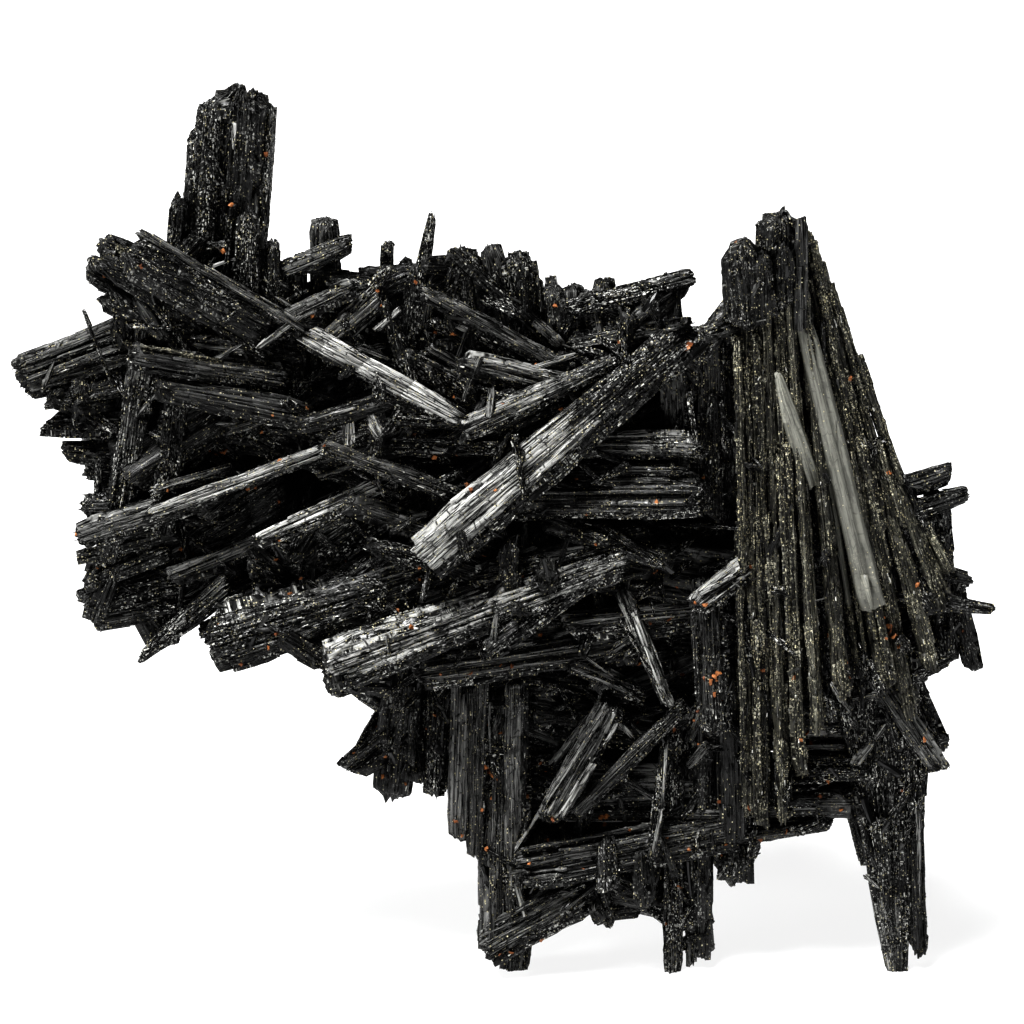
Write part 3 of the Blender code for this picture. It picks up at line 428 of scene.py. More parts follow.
# %% [markdown]
# The ends are hackly: the ribs stop one after another, and the middle of the end stands in terraces.
# The tall crystal and the smooth dark ones are rounded off instead, so an end can have a dome.

# %% Ends and crests
CREST_NEAR, CREST_FAR = 0.24, 0.80
GROOVE_DEPTHS = (0.25, 0.7)
END_SHARES = (0.70, 0.34)
LONGEST_GAP = 3.0


def set_ends(along, length, plate, middles, ragged, rng):
    """Lets the ribs start and stop one after another, several at a time."""
    short = rng.exponential(ragged * length, int(plate.max()) + 1).clip(0.0, min(0.2 * length, LONGEST_GAP))
    lean = (middles @ rng.uniform(-0.4, 0.4, 2)).clip(-0.8, 0.8)
    reach = length - short[plate] - rng.exponential(0.14, len(plate)).clip(0.0, 0.8) + 0.2 + lean
    start = rng.exponential(0.3, len(plate)).clip(0.0, 0.1 * length) + middles @ rng.uniform(-0.4, 0.4, 2)
    return start[:, None] + along * ((reach - start).clip(0.5 * length) / length)[:, None]


def crests(deep, rib_width, relief, rng):
    """Three columns a rib: its groove, and the near and the far side of its crest."""
    ribs = len(deep)
    slant = rng.normal(0.0, 0.12, ribs) * rib_width
    cut = (rng.uniform(*GROOVE_DEPTHS, ribs) * rib_width.clip(0.0, 0.7))[:, None]
    groove = np.maximum(deep, np.roll(deep, 1, axis=0)) + cut
    deep = np.stack([groove, deep + slant[:, None], deep - slant[:, None]], axis=1)
    deep = deep.reshape(3 * ribs, -1)
    return deep + rng.normal(0.0, relief * 0.8, deep.shape)


def end_rows(wall_end, inward, rng, depth, dome):
    """Two rows of terraces inside the end of a wall, the inner one highest."""
    middle, rows = wall_end.mean(axis=0), []
    for share in END_SHARES:
        drop = rng.normal(0.0, depth, (len(wall_end), 1)) * (1.0 - 0.6 * share) - dome * (1 - share)
        rows.append(middle + (wall_end - middle) * share + inward * drop)
    return rows


# %% [markdown]
# The wall of a crystal is a grid of points, columns around by rings along. Triangles join each ring
# to the next, then the two terraces of each end, and last a point that closes it.

# %% Triangles of one crystal
def ring_faces(first, second):
    """Triangles between two closed rows of points, given as index arrays."""
    after, second_after = np.roll(first, -1, axis=0), np.roll(second, -1, axis=0)
    return np.concatenate([np.stack([first, after, second_after], axis=-1).reshape(-1, 3),
                           np.stack([first, second_after, second], axis=-1).reshape(-1, 3)])


def fan_faces(row, hub):
    """Triangles from a closed row of points to one point."""
    return np.stack([row, np.roll(row, -1), np.full(len(row), hub)], axis=-1)


def crystal_faces(columns, rings):
    """Point numbers of the four end rows, and all triangles of the wall and the ends."""
    wall = np.arange(columns * rings).reshape(columns, rings)
    rows = columns * rings + np.arange(4 * columns).reshape(4, columns)
    hub = columns * (rings + 4)
    faces = [ring_faces(wall[:, ring], wall[:, ring + 1]) for ring in range(rings - 1)]
    faces += [ring_faces(wall[:, -1], rows[0]), ring_faces(rows[0], rows[1]),
              ring_faces(rows[2], wall[:, 0]), ring_faces(rows[3], rows[2]),
              fan_faces(rows[1], hub), fan_faces(rows[3], hub + 1)[:, [1, 0, 2]]]
    return rows, np.concatenate(faces)


# %% [markdown]
# Many crystals make one piece, so a heap gathers them and becomes a single mesh. Beside the points it
# keeps coordinates that run along each crystal, a tone for every rib, the crystal's own direction and
# how strong the painted sheen of its faces is. The materials and the later steps read these.

# %% A heap of crystals
class Heap:
    """Gathers the points, triangles and values of many crystals."""

    def __init__(self):
        self.points, self.tones, self.ahead, self.painted_sheen = [], [], [], []
        self.faces, self.face_uvs, self.finish = [], [], []
        self.count = 0

    def add(self, points, uvs, tones, ahead, painted_sheen, faces, around, finish):
        """Adds one crystal; `around` is its outline's length, for the seam of the coordinates."""
        corner_uv = uvs[faces]
        low = corner_uv[..., 0].min(axis=1, keepdims=True)
        high = corner_uv[..., 0].max(axis=1, keepdims=True)
        seam = (high - low > around / 2) & (corner_uv[..., 0] < (low + high) / 2)
        corner_uv[..., 0] += seam * around
        self.points.append(points)
        self.tones.append(tones)
        self.painted_sheen.append(painted_sheen)
        self.ahead.append(np.tile(ahead, (len(points), 1)))
        self.faces.append(faces + self.count)
        self.face_uvs.append(corner_uv)
        self.finish.append(np.full(len(faces), finish))
        self.count += len(points)


# %% [markdown]
# A crystal has a frame of its own: ahead runs from its tail to its tip, and two more directions are
# turned about it by the roll. Only faces turned toward the key light get a painted sheen, a pale colour
# that stands for the light's reflection, and that light is kept as one direction from which such a face
# is lit. Its ribs each get a tone, and the coordinates go on over the ends, so the fine ribs of the
# material don't stop there.

# %% Directions, tones and coordinates of a crystal
LIT = -0.45 * np.array([1.0, 0.0, 0.0]) + 0.45 * VIEWER + 0.78 * np.array([0.0, 0.0, 1.0])
LIT /= np.linalg.norm(LIT)


def axes(tail, tip, roll):
    """The length and the three directions of a crystal, turned by its roll."""
    ahead = tip - tail
    length = float(np.linalg.norm(ahead))
    ahead = ahead / length
    side = np.cross(VIEWER, ahead)
    side /= np.linalg.norm(side)
    toward = np.cross(ahead, side)
    across = side * math.cos(roll) + toward * math.sin(roll)
    outward = toward * math.cos(roll) - side * math.sin(roll)
    return length, ahead, across, outward


def rib_tones(ribs, columns, rings, sheen_brightness, dust, rng):
    """A colour for each point: how bright its painted sheen is, the rib's own tone, whether it is at an
    end, and how much dust and felt, whose pale cells are painted glints, it carries.
    """
    tones = np.zeros((columns * (rings + 4) + 2, 4))
    tones[:, 0] = sheen_brightness
    tones[:, 1] = np.concatenate([np.repeat(rng.random(ribs), 3 * rings),
                                  np.tile(np.repeat(rng.random(ribs), 3), 4), [0.5, 0.5]])
    tones[columns * rings:, 2] = 1.0
    tones[:, 3] = dust
    return tones


def unrolled(distance, along, rows, length, width):
    """Coordinates in millimetres around and along the crystal, carried on over its ends."""
    columns, rings = along.shape
    uvs = np.zeros((columns * (rings + 4) + 2, 2))
    uvs[:along.size, 0] = np.repeat(distance, rings)
    uvs[:along.size, 1] = along.ravel()
    for row, (ring, shift) in enumerate(((-1, 0.15), (-1, 0.33), (0, -0.15), (0, -0.33))):
        uvs[rows[row], 0] = distance
        uvs[rows[row], 1] = along[:, ring] + shift * width
    uvs[-2:, 1] = [length + width / 2, -width / 2]
    return uvs


# %% One crystal
PLATE_EDGE_SHARE = 0.30
NO_PAINTED_SHEEN = (0.0, 0.0, 0.0)
TERRACE, HOLLOW_END, DOME_END = 0.05, 0.12, 0.02


def crystal(heap, tail, tip, width, thick, roll, point, rng, sides=6, rib=0.7, spacing=1.5,
            relief=0.08, ragged=0.03, dust=0.6, finish=BLACK, painted_sheen=NO_PAINTED_SHEEN, cracked=0.3, dome=0.0):
    """Adds one ribbed prism from its tail to its tip, all in millimetres."""
    length, ahead, across, outward = axes(tail, tip, roll)
    corners = outline(sides, width, thick, rng)
    cuts, around = rib_cuts(corners, rib, rng)
    ribs, rib_width = len(cuts), np.diff(np.append(cuts, around))
    plate = np.cumsum(rng.random(ribs) < PLATE_EDGE_SHARE)
    bulk = min(width, thick)
    along, deep = rib_relief(plate, length, spacing, relief * bulk, bulk, cracked, rng)
    along = set_ends(along, length, plate, on_outline(corners, cuts + rib_width / 2), ragged, rng)
    deep[:, -1] += 0.25 * rib_width
    deep[:, 0] += 0.25 * rib_width
    deep = crests(deep, rib_width, relief, rng)
    distance = np.stack([cuts, cuts + CREST_NEAR * rib_width, cuts + CREST_FAR * rib_width], axis=1).ravel()
    along = np.repeat(along, 3, axis=0)
    flat = on_outline(corners, distance)
    radius = np.linalg.norm(flat, axis=1)[:, None]
    wave = 1.0 + 0.05 * np.sin(along * rng.uniform(0.2, 0.6) + rng.uniform(0, 6))
    shape = (1.0 - deep / radius).clip(0.12) * wave * (1.0 + (point - 1.0) * along / length)
    if dome:
        past = ((along - length + dome) / dome).clip(0.0, 0.97)
        shape = shape * np.sqrt(1.0 - past ** 4)
    wall = (tail + (flat[:, :1] * shape)[..., None] * across
            + (flat[:, 1:] * shape)[..., None] * outward + along[..., None] * ahead)
    top = end_rows(wall[:, -1], -ahead, rng, TERRACE * width,
                   (DOME_END if dome else HOLLOW_END) * width)
    bottom = end_rows(wall[:, 0], ahead, rng, TERRACE * width, HOLLOW_END * width)
    hubs = np.stack([top[1].mean(axis=0), bottom[1].mean(axis=0)])
    points = np.concatenate([wall.reshape(-1, 3), *top, *bottom, hubs])
    rows, faces = crystal_faces(*along.shape)
    # Painted sheen: only faces turned toward the key light get it, as strong as the look asks at the tail
    # and the tip.
    facing = (flat[:, :1] * across + flat[:, 1:] * outward) / radius
    lit = ((facing @ LIT) * 3.0 + 0.5).clip(0.0, 1.0)[:, None]
    shown = (painted_sheen[0] + (painted_sheen[1] - painted_sheen[0]) * along / length) * lit
    tones = rib_tones(ribs, *along.shape, painted_sheen[2], dust, rng)
    uvs = unrolled(distance, along, rows, length, width) + rng.uniform(0.0, 900.0, 2)
    painted_sheen_per_point = np.concatenate([shown.ravel(), np.zeros(len(points) - shown.size)])
    heap.add(points, uvs, tones, ahead, painted_sheen_per_point, faces, around, finish)


# %% [markdown]
# A mesh could be built face by face, but with a hundred thousand faces that is slow. The whole arrays
# are handed over at once instead. Every piece is made the same way, in metres and at the origin.

# %% From a heap to a mesh
ATTRIBUTE_PARTS = {"FLOAT": "value", "FLOAT_VECTOR": "vector", "FLOAT_COLOR": "color"}


def store(mesh, label, kind, values):
    """Keeps a value for each point of a mesh."""
    stored = mesh.attributes.new(label, kind, "POINT")
    stored.data.foreach_set(ATTRIBUTE_PARTS[kind], np.asarray(values, np.float32).ravel())


def add_object(name, data):
    """A new object of the scene that shows the data."""
    item = bpy.data.objects.new(name, data)
    bpy.context.scene.collection.objects.link(item)
    return item


def mesh_of(heap, name, materials):
    """One mesh in metres, at the origin, resting on the floor where it reaches it."""
    points = np.concatenate(heap.points) * MM
    points[:, 2] = points[:, 2].clip(0.0)
    faces = np.concatenate(heap.faces).astype(np.int32)
    mesh = bpy.data.meshes.new(name)
    mesh.vertices.add(len(points))
    mesh.vertices.foreach_set("co", points.astype(np.float32).ravel())
    mesh.loops.add(faces.size)
    mesh.loops.foreach_set("vertex_index", faces.ravel())
    mesh.polygons.add(len(faces))
    mesh.polygons.foreach_set("loop_start", np.arange(len(faces), dtype=np.int32) * 3)
    mesh.polygons.foreach_set("material_index", np.concatenate(heap.finish).astype(np.int32))
    mesh.update(calc_edges=True)
    layer = mesh.uv_layers.new(name="along_crystal")
    layer.data.foreach_set("uv", np.concatenate(heap.face_uvs).astype(np.float32).ravel())
    store(mesh, "tone", "FLOAT_COLOR", np.concatenate(heap.tones))
    store(mesh, "painted_sheen", "FLOAT", np.concatenate(heap.painted_sheen))
    store(mesh, "ahead", "FLOAT_VECTOR", np.concatenate(heap.ahead))
    for material in materials:
        mesh.materials.append(material)
    return add_object(name, mesh)


# %% [markdown]
# The crystals are black right through, but they never look flat black. Ribs far finer than the mesh
# catch the light as long thin streaks, by their bumps and, on faces with a painted sheen, as painted
# streaks. Splinters leave short cross steps, and pale dust and tiny crystals sit in every hollow; the
# pale cells of the tiny crystals are painted glints. Three node groups carry these: the fine ribs and
# steps as a height, the felt of tiny crystals as a tilted surface, and the specks as a mask. Every dark
# material uses all three.

# %% Node helpers
def group_tree(name, inputs, outputs):
    """A shader node group with named sockets: the tree, what it is given and what it gives out."""
    tree = bpy.data.node_groups.new(name, "ShaderNodeTree")
    for label, kind, value in inputs:
        socket = tree.interface.new_socket(label, in_out="INPUT", socket_type=kind)
        if value is not None:
            socket.default_value = value
    for label, kind in outputs:
        tree.interface.new_socket(label, in_out="OUTPUT", socket_type=kind)
    return tree, tree.nodes.new("NodeGroupInput").outputs, tree.nodes.new("NodeGroupOutput").inputs


def new_node(tree, kind, **settings):
    """A node of a kind, with its settings."""
    node = tree.nodes.new(kind)
    for label, value in settings.items():
        setattr(node, label, value)
    return node


def feed(tree, target, source):
    """Gives an input socket a fixed value, or a link from another socket."""
    if isinstance(source, bpy.types.NodeSocket):
        tree.links.new(source, target)
    else:
        target.default_value = source


def feed_all(tree, targets, **sources):
    """Feeds sockets by name; an underscore stands for a space."""
    for label, source in sources.items():
        feed(tree, targets[label.replace("_", " ")], source)


def calc(tree, operation, first, second, clamp=False):
    """A Math node fed by sockets or numbers."""
    node = new_node(tree, "ShaderNodeMath", operation=operation, use_clamp=clamp)
    feed(tree, node.inputs[0], first)
    feed(tree, node.inputs[1], second)
    return node.outputs[0]


def plus(tree, first, second, clamp=False):
    """The sum of two sockets or numbers."""
    return calc(tree, "ADD", first, second, clamp)


def times(tree, first, second, clamp=False):
    """The product of two sockets or numbers."""
    return calc(tree, "MULTIPLY", first, second, clamp)


def vector_calc(tree, operation, first, second=None):
    """A Vector Math node; the second value is a factor when the operation is SCALE."""
    node = new_node(tree, "ShaderNodeVectorMath", operation=operation)
    feed(tree, node.inputs[0], first)
    if second is not None:
        feed(tree, node.inputs["Scale" if operation == "SCALE" else 1], second)
    return node.outputs[0]


def noise(tree, vector, scale, detail=2.0, roughness=0.5, dimensions="3D"):
    """Soft clouds over the vector, as one value."""
    node = new_node(tree, "ShaderNodeTexNoise", noise_dimensions=dimensions)
    feed_all(tree, node.inputs, Vector=vector, Scale=scale, Detail=detail, Roughness=roughness)
    return node.outputs["Fac"]


def ramp(tree, value, low, high, to_low=0.0, to_high=1.0):
    """Maps low..high to to_low..to_high, clamped."""
    node = tree.nodes.new("ShaderNodeMapRange")
    feed_all(tree, node.inputs, Value=value, From_Min=low, From_Max=high, To_Min=to_low,
             To_Max=to_high)
    return node.outputs["Result"]


def cells(tree, vector, stretch, feature="F1", scale=1.0, dimensions="2D"):
    """A Voronoi pattern over the vector, stretched along each axis."""
    node = new_node(tree, "ShaderNodeTexVoronoi", voronoi_dimensions=dimensions, feature=feature)
    feed_all(tree, node.inputs, Vector=vector_calc(tree, "MULTIPLY", vector, stretch), Scale=scale)
    return node.outputs


def split(tree, colour):
    """The red, green and blue of a colour, as three values."""
    node = tree.nodes.new("ShaderNodeSeparateColor")
    feed(tree, node.inputs[0], colour)
    return node.outputs


def attribute(tree, name):
    """The outputs of a stored value of the mesh."""
    return new_node(tree, "ShaderNodeAttribute", attribute_name=name).outputs


def object_place(tree):
    """Where a point lies on the object, in metres."""
    return tree.nodes.new("ShaderNodeTexCoord").outputs["Object"]


def blend(tree, first, second, factor):
    """Mixes two colours, given as sockets or as fixed colours."""
    node = new_node(tree, "ShaderNodeMix", data_type="RGBA")
    for slot, source in ((6, first), (7, second), (0, factor)):
        feed(tree, node.inputs[slot], source)
    return node.outputs[2]


# %% Fine ribs, broken into short lengths
VECTOR, NUMBER = "NodeSocketVector", "NodeSocketFloat"


def fine_ribs():
    """Ribs finer than the mesh, over coordinates in millimetres around and along a crystal."""
    tree, given, out = group_tree("fine_ribs", [("Along", VECTOR, None)],
                                  [("Height", NUMBER), ("Step", NUMBER), ("Crack", NUMBER)])
    along = given["Along"]
    threads = noise(tree, vector_calc(tree, "MULTIPLY", along, (4.5, 0.14, 1.0)), 1.0, 3.0, 0.75, "2D")
    bricks = cells(tree, along, (2.4, 0.30, 1.0))
    edges = cells(tree, along, (1.3, 0.55, 1.0), "DISTANCE_TO_EDGE")
    patches = noise(tree, vector_calc(tree, "MULTIPLY", along, (1.1, 0.7, 1.0)), 1.0, dimensions="2D")
    step = plus(tree, times(tree, split(tree, bricks["Color"])[0], 0.35),
                ramp(tree, threads, 0.42, 0.58, 0.0, 0.65))
    crack = times(tree, ramp(tree, patches, 0.50, 0.56),
                  ramp(tree, edges["Distance"], 0.03, 0.07, 1.0, 0.0))
    crack = calc(tree, "MAXIMUM", crack, ramp(tree, threads, 0.43, 0.47, 1.0, 0.0))
    height = calc(tree, "SUBTRACT", plus(tree, threads, step), crack)
    feed_all(tree, out, Height=height, Step=step, Crack=crack)
    return tree


# %% [markdown]
# A felt of tiny crystals covers most faces. Meshing it would take millions of faces, so each cell of
# a pattern tilts the surface its own way and catches the light alone, and a few cells are pale:
# painted glints.

# %% A felt of tiny crystals, each tilted its own way
def crystal_felt():
    """Tiny crystals that cover a face: a tilted surface, how pale they are as painted glints, and their
    height.
    """
    tree, given, out = group_tree("crystal_felt", [("Along", VECTOR, None), ("Amount", NUMBER, 0.5)],
                                  [("Normal", VECTOR), ("Pale", NUMBER), ("Height", NUMBER)])
    amount = given["Amount"]
    large = cells(tree, given["Along"], (3.2, 1.9, 1.0))
    small = cells(tree, given["Along"], (5.4, 4.0, 1.0))
    patches = ramp(tree, noise(tree, object_place(tree), 260.0, 3.0, 0.6), 0.42, 0.64, 0.10, 1.7)
    # The pale cells are painted glints, palest in a cell's middle.
    shown = [times(tree, ramp(tree, split(tree, layer["Color"])[1], 0.66, 1.0),
                   ramp(tree, layer["Distance"], 0.33, 0.44, strength, 0.0))
             for layer, strength in ((large, 1.8), (small, 2.4))]
    pale = times(tree, times(tree, plus(tree, *shown), patches), amount, clamp=True)
    wild = vector_calc(tree, "SUBTRACT", large["Color"], (0.5, 0.5, 0.5))
    sway = vector_calc(tree, "SCALE", wild, times(tree, amount, 1.3))
    facing = tree.nodes.new("ShaderNodeNewGeometry").outputs["Normal"]
    tilted = vector_calc(tree, "NORMALIZE", vector_calc(tree, "ADD", facing, sway))
    feed_all(tree, out, Normal=tilted, Pale=pale, Height=large["Distance"])
    return tree


# %% [markdown]
# Dust doesn't follow the crystals: it lies in drifts over the whole cluster. So its pattern is laid
# out in the object's own space, and a broad noise decides where the specks are many or few.

# %% Pale specks
def pale_specks():
    """Specks of dust in drifts: where they are, and a tint for each."""
    tree, given, out = group_tree("pale_specks", [("Amount", NUMBER, 0.5), ("Per Metre", NUMBER, 3300.0)],
                                  [("Mask", NUMBER), ("Tint", NUMBER)])
    where = object_place(tree)
    dots = cells(tree, where, (1.0, 1.0, 1.0), scale=given["Per Metre"], dimensions="3D")
    pick = split(tree, dots["Color"])
    drift = ramp(tree, noise(tree, where, 160.0, 3.0, 0.6), 0.35, 0.68, 0.1, 1.5)
    chosen = calc(tree, "LESS_THAN", pick[0], times(tree, given["Amount"], drift))
    inside = calc(tree, "LESS_THAN", dots["Distance"], ramp(tree, pick[1], 0.0, 1.0, 0.16, 0.40))
    feed_all(tree, out, Mask=times(tree, chosen, inside), Tint=pick[2])
    return tree


RIBS, FELT, SPECKS = fine_ribs(), crystal_felt(), pale_specks()
print("node groups", [tree.name for tree in (RIBS, FELT, SPECKS)])


# %% [markdown]
# The prisms share one recipe: a body between two blacks or greys, rib by rib, and over it a painted
# sheen, a pale colour that stands for the key light's reflection, on the faces where a crystal asks for
# it. Granules, whose pale cells are painted glints, and specks lie on top, and the cracks are darkest.
# Five finishes come from it: the black of most prisms, a pale one that is that painted sheen all over,
# the olive of the spire, its satin blades and a smoother black. Small pieces have a simpler recipe with
# one tone each.

# %% The black of the prisms
def placed(tree, group, **sources):
    """The outputs of a node group placed in a material, with its inputs linked."""
    node = new_node(tree, "ShaderNodeGroup", node_tree=group)
    feed_all(tree, node.inputs, **sources)
    return node.outputs


def new_material(name):
    """A material, its node tree and the inputs of its main shader."""
    material = bpy.data.materials.new(name)
    material.use_nodes = True
    return material, material.node_tree, material.node_tree.nodes["Principled BSDF"].inputs


# The dark and the pale of the painted sheen, which stands for the key light's reflection.
SHEEN_DARK, SHEEN_LIGHT = (0.01, 0.01, 0.01, 1), (0.76, 0.76, 0.73, 1)
CRACK_BLACK = (0.001, 0.001, 0.001, 1)
DUST_DARK, DUST_LIGHT = (0.30, 0.27, 0.16, 1), (0.75, 0.70, 0.50, 1)
FINE_RIB_METRES = 0.00012


def prism_material(name, dark, light, granule_glint, smooth, rough, felt, specks, cut):
    """Aegirine: ribs and cracks, a painted sheen where asked, and granules with painted glints and specks
    on top.
    """
    material, tree, shader = new_material(name)
    along = new_node(tree, "ShaderNodeUVMap", uv_map="along_crystal").outputs[0]
    tone = attribute(tree, "tone")
    sheen_brightness, rib, end = split(tree, tone["Color"])[:3]
    fine = placed(tree, RIBS, Along=along)
    # Painted sheen: faces whose stored sheen is high turn pale, in patches, and hide most of the felt.
    patchy = ramp(tree, noise(tree, object_place(tree), 420.0, 4.0, 0.7), 0.3, 0.7, -0.35, 0.35)
    painted_sheen = ramp(tree, plus(tree, attribute(tree, "painted_sheen")["Fac"], patchy), 0.35, 0.60)
    hidden = calc(tree, "SUBTRACT", 1.0, times(tree, painted_sheen, 0.85))
    amount = times(tree, times(tree, tone["Alpha"], felt), hidden)
    grains = placed(tree, FELT, Along=along, Amount=amount)
    dots = placed(tree, SPECKS, Amount=times(tree, tone["Alpha"], specks))
    # The painted sheen is streaked by the fine ribs' steps, and the pale felt cells on top are painted
    # glints.
    painted_sheen_colour = blend(tree, SHEEN_DARK, SHEEN_LIGHT, times(tree, fine["Step"], sheen_brightness))
    body = blend(tree, dark, light, times(tree, rib, fine["Step"]))
    body = blend(tree, blend(tree, body, painted_sheen_colour, painted_sheen), granule_glint, grains["Pale"])
    body = blend(tree, body, CRACK_BLACK, times(tree, fine["Crack"], min(0.85, cut * 1.4)))
    body = blend(tree, body, blend(tree, DUST_DARK, DUST_LIGHT, dots["Tint"]), dots["Mask"])
    spread = plus(tree, ramp(tree, fine["Step"], 0.0, 1.0, smooth, rough), times(tree, end, 0.15))
    spread = plus(tree, spread, times(tree, dots["Mask"], 0.4), clamp=True)
    height = calc(tree, "SUBTRACT", fine["Height"], times(tree, grains["Height"], amount))
    bump = tree.nodes.new("ShaderNodeBump")
    feed_all(tree, bump.inputs, Strength=cut, Distance=FINE_RIB_METRES, Height=height,
             Normal=grains["Normal"])
    feed_all(tree, shader, Base_Color=body, Roughness=spread, Normal=bump.outputs[0], IOR=1.4)
    return material


# The pale colours of the felt cells are painted glints.
GREY_GRANULE_GLINT, OLIVE_GRANULE_GLINT = (0.80, 0.80, 0.76, 1), (0.60, 0.58, 0.46, 1)
FINISHES = [
    prism_material("black_aegirine", (0.001, 0.001, 0.001, 1), (0.012, 0.012, 0.011, 1),
                   GREY_GRANULE_GLINT, smooth=0.18, rough=0.34, felt=1.0, specks=0.60, cut=0.9),
    # A finish pale all over: painted sheen over a whole crystal.
    prism_material("pale_sheen_aegirine", (0.02, 0.02, 0.02, 1), (0.70, 0.70, 0.66, 1),
                   GREY_GRANULE_GLINT, smooth=0.22, rough=0.40, felt=0.4, specks=0.25, cut=0.9),
    prism_material("olive_aegirine", (0.004, 0.004, 0.003, 1), (0.15, 0.146, 0.118, 1),
                   OLIVE_GRANULE_GLINT, smooth=0.30, rough=0.50, felt=0.6, specks=0.75, cut=0.5),
    prism_material("satin_aegirine", (0.17, 0.17, 0.150, 1), (0.32, 0.32, 0.280, 1),
                   OLIVE_GRANULE_GLINT, smooth=0.32, rough=0.42, felt=0.15, specks=0.20, cut=0.2),
    prism_material("smooth_aegirine", (0.002, 0.002, 0.002, 1), (0.036, 0.036, 0.034, 1),
                   GREY_GRANULE_GLINT, smooth=0.20, rough=0.34, felt=0.35, specks=0.45, cut=0.6)]


def chip_material(name, dark, light, power, rough):
    """Small pieces: each has a plain tone of its own between dark and light."""
    material, tree, shader = new_material(name)
    own = calc(tree, "POWER", attribute(tree, "own")["Fac"], power)
    mottled = times(tree, own, ramp(tree, noise(tree, object_place(tree), 3000.0), 0.3, 0.7, 0.4, 1.3))
    feed_all(tree, shader, Base_Color=blend(tree, dark, light, mottled), Roughness=rough, IOR=1.5)
    return material


SPLINTER = chip_material("loose_aegirine", (0.003, 0.003, 0.003, 1), (0.90, 0.90, 0.84, 1),
                         power=4.5, rough=0.28)
ORANGE = chip_material("orange_grain", (0.14, 0.045, 0.015, 1), (0.56, 0.24, 0.09, 1),
                       power=1.0, rough=0.55)
print("materials", [material.name for material in FINISHES + [SPLINTER, ORANGE]])

# %% [markdown]
# Now the crystals are grown from the lists. Crystals of the near side get fine ribs, and those that
# are buried or on the far side get wider ones, which saves faces where nobody looks closely.
# A black crystal without a look of its own gets one by chance: part of its lit faces may get a faint
# painted sheen, and four in ten are smoother, with wider ribs.

# %% Grow the groups
SMOOTH_SHARE, SMOOTH_COARSE = 0.40, 1.6
# Crystals with a strong painted sheen get wider ribs; a black one without a look gets a faint painted sheen
# by chance.
STRONG_SHEEN, BRIGHT_COARSE = 0.75, 1.5
PAINTED_SHEEN_BY_CHANCE, SHEEN_BRIGHTNESS_BY_CHANCE = (-0.6, 1.4), (0.05, 0.35)
ROD_WIDTHS, ROD_LIFTS, ROD_SPREAD = (0.14, 0.34), (0.16, 0.34), 0.42
DOME_SHARE = 0.2
chance = np.random.default_rng(11)


def declare(piece):
    """Lets a piece ride on the part and stand for its solid."""
    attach(piece, "root")
    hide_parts(SOLID)
    print(piece.name, len(piece.data.loops) - 2 * len(piece.data.polygons), "triangles")
    return piece


def add_piece(heap, name):
    """Turns a heap into a piece that stands for the solid."""
    return declare(mesh_of(heap, name, FINISHES))


def dressed(look, finish):
    """A crystal's finish, its painted sheen and how much wider its ribs are."""
    by_chance = [chance.uniform(*span) for span in (PAINTED_SHEEN_BY_CHANCE, PAINTED_SHEEN_BY_CHANCE, SHEEN_BRIGHTNESS_BY_CHANCE)]
    if look and isinstance(look[0], tuple):
        return finish, look[0], BRIGHT_COARSE if look[0][2] > STRONG_SHEEN else 1.0
    if look or finish != BLACK:
        return look[0] if look else finish, NO_PAINTED_SHEEN, 1.0
    smooth = chance.random() < SMOOTH_SHARE
    return DARK if smooth else BLACK, by_chance, SMOOTH_COARSE if smooth else 1.0


def grow(name, rows, rib, ring, relief, ragged, finish=BLACK):
    """One piece: every crystal of a group, each with the rods along it."""
    heap = Heap()
    for tail, tip, width, thick, degrees, point, rods, *look in rows:
        start, end, roll = place(*tail), place(*tip), math.radians(degrees)
        own, painted_sheen, coarse = dressed(look, finish)
        shared = dict(spacing=ring, ragged=ragged, finish=own, painted_sheen=painted_sheen)
        rounded = name == "tall_crystal" or look == [DARK]
        crystal(heap, start, end, width, thick, roll, point, chance, sides=7, rib=rib * coarse,
                relief=relief / coarse, dome=DOME_SHARE * width if rounded else 0.0, **shared)
        along = end - start
        side = np.cross(VIEWER, along)
        side /= np.linalg.norm(side)
        for _ in range(rods + 1):
            spread = chance.uniform(-ROD_SPREAD, ROD_SPREAD) * width
            lift = VIEWER * thick * chance.uniform(*ROD_LIFTS)
            thin = width * chance.uniform(*ROD_WIDTHS)
            first = start + along * chance.uniform(0.0, 0.55) + side * spread + lift
            last = start + along * chance.uniform(0.62, 0.92 if rounded else 1.0)
            last = last + side * spread * point + lift * point
            turned = roll + chance.uniform(-0.5, 0.5)
            crystal(heap, first, last, thin, thin, turned, point, chance, rib=rib * 0.8,
                    relief=relief, **shared)
    return add_piece(heap, name)


near_pieces = []
for title, rows, rib, relief in (
        ("left_arm", LEFT_ARM, 0.42, 0.07), ("tall_crystal", TALL, 0.42, 0.035),
        ("top_crystals", TOP, 0.42, 0.07), ("crossing_crystals", CROSSING, 0.42, 0.06),
        ("centre_crystals", CENTRE, 0.42, 0.07), ("spire", SPIRE, 0.7, 0.14),
        ("right_edge", RIGHT, 0.42, 0.08), ("feet", LEGS, 0.55, 0.07),
        ("lower_crystals", BOTTOM, 0.42, 0.07)):
    near_pieces.append(grow(title, rows, rib, 1.0, relief, 0.006 if title == "tall_crystal" else 0.02,
                            OLIVE if title == "spire" else BLACK))
for title, rows in (("inner_crystals", INNER + FILLERS), ("back_crystals", BACK), ("rear_crystals", REAR)):
    near_pieces.append(grow(title, rows, 0.8, 1.9, 0.07, 0.03))

# %% [markdown]
# What is smaller than the prisms is laid where it can be seen. A ray is sent at the cluster, and the
# point where it lands, the surface's direction there and the crystal's own direction are kept.
# The crystals of all pieces are searched as one surface.

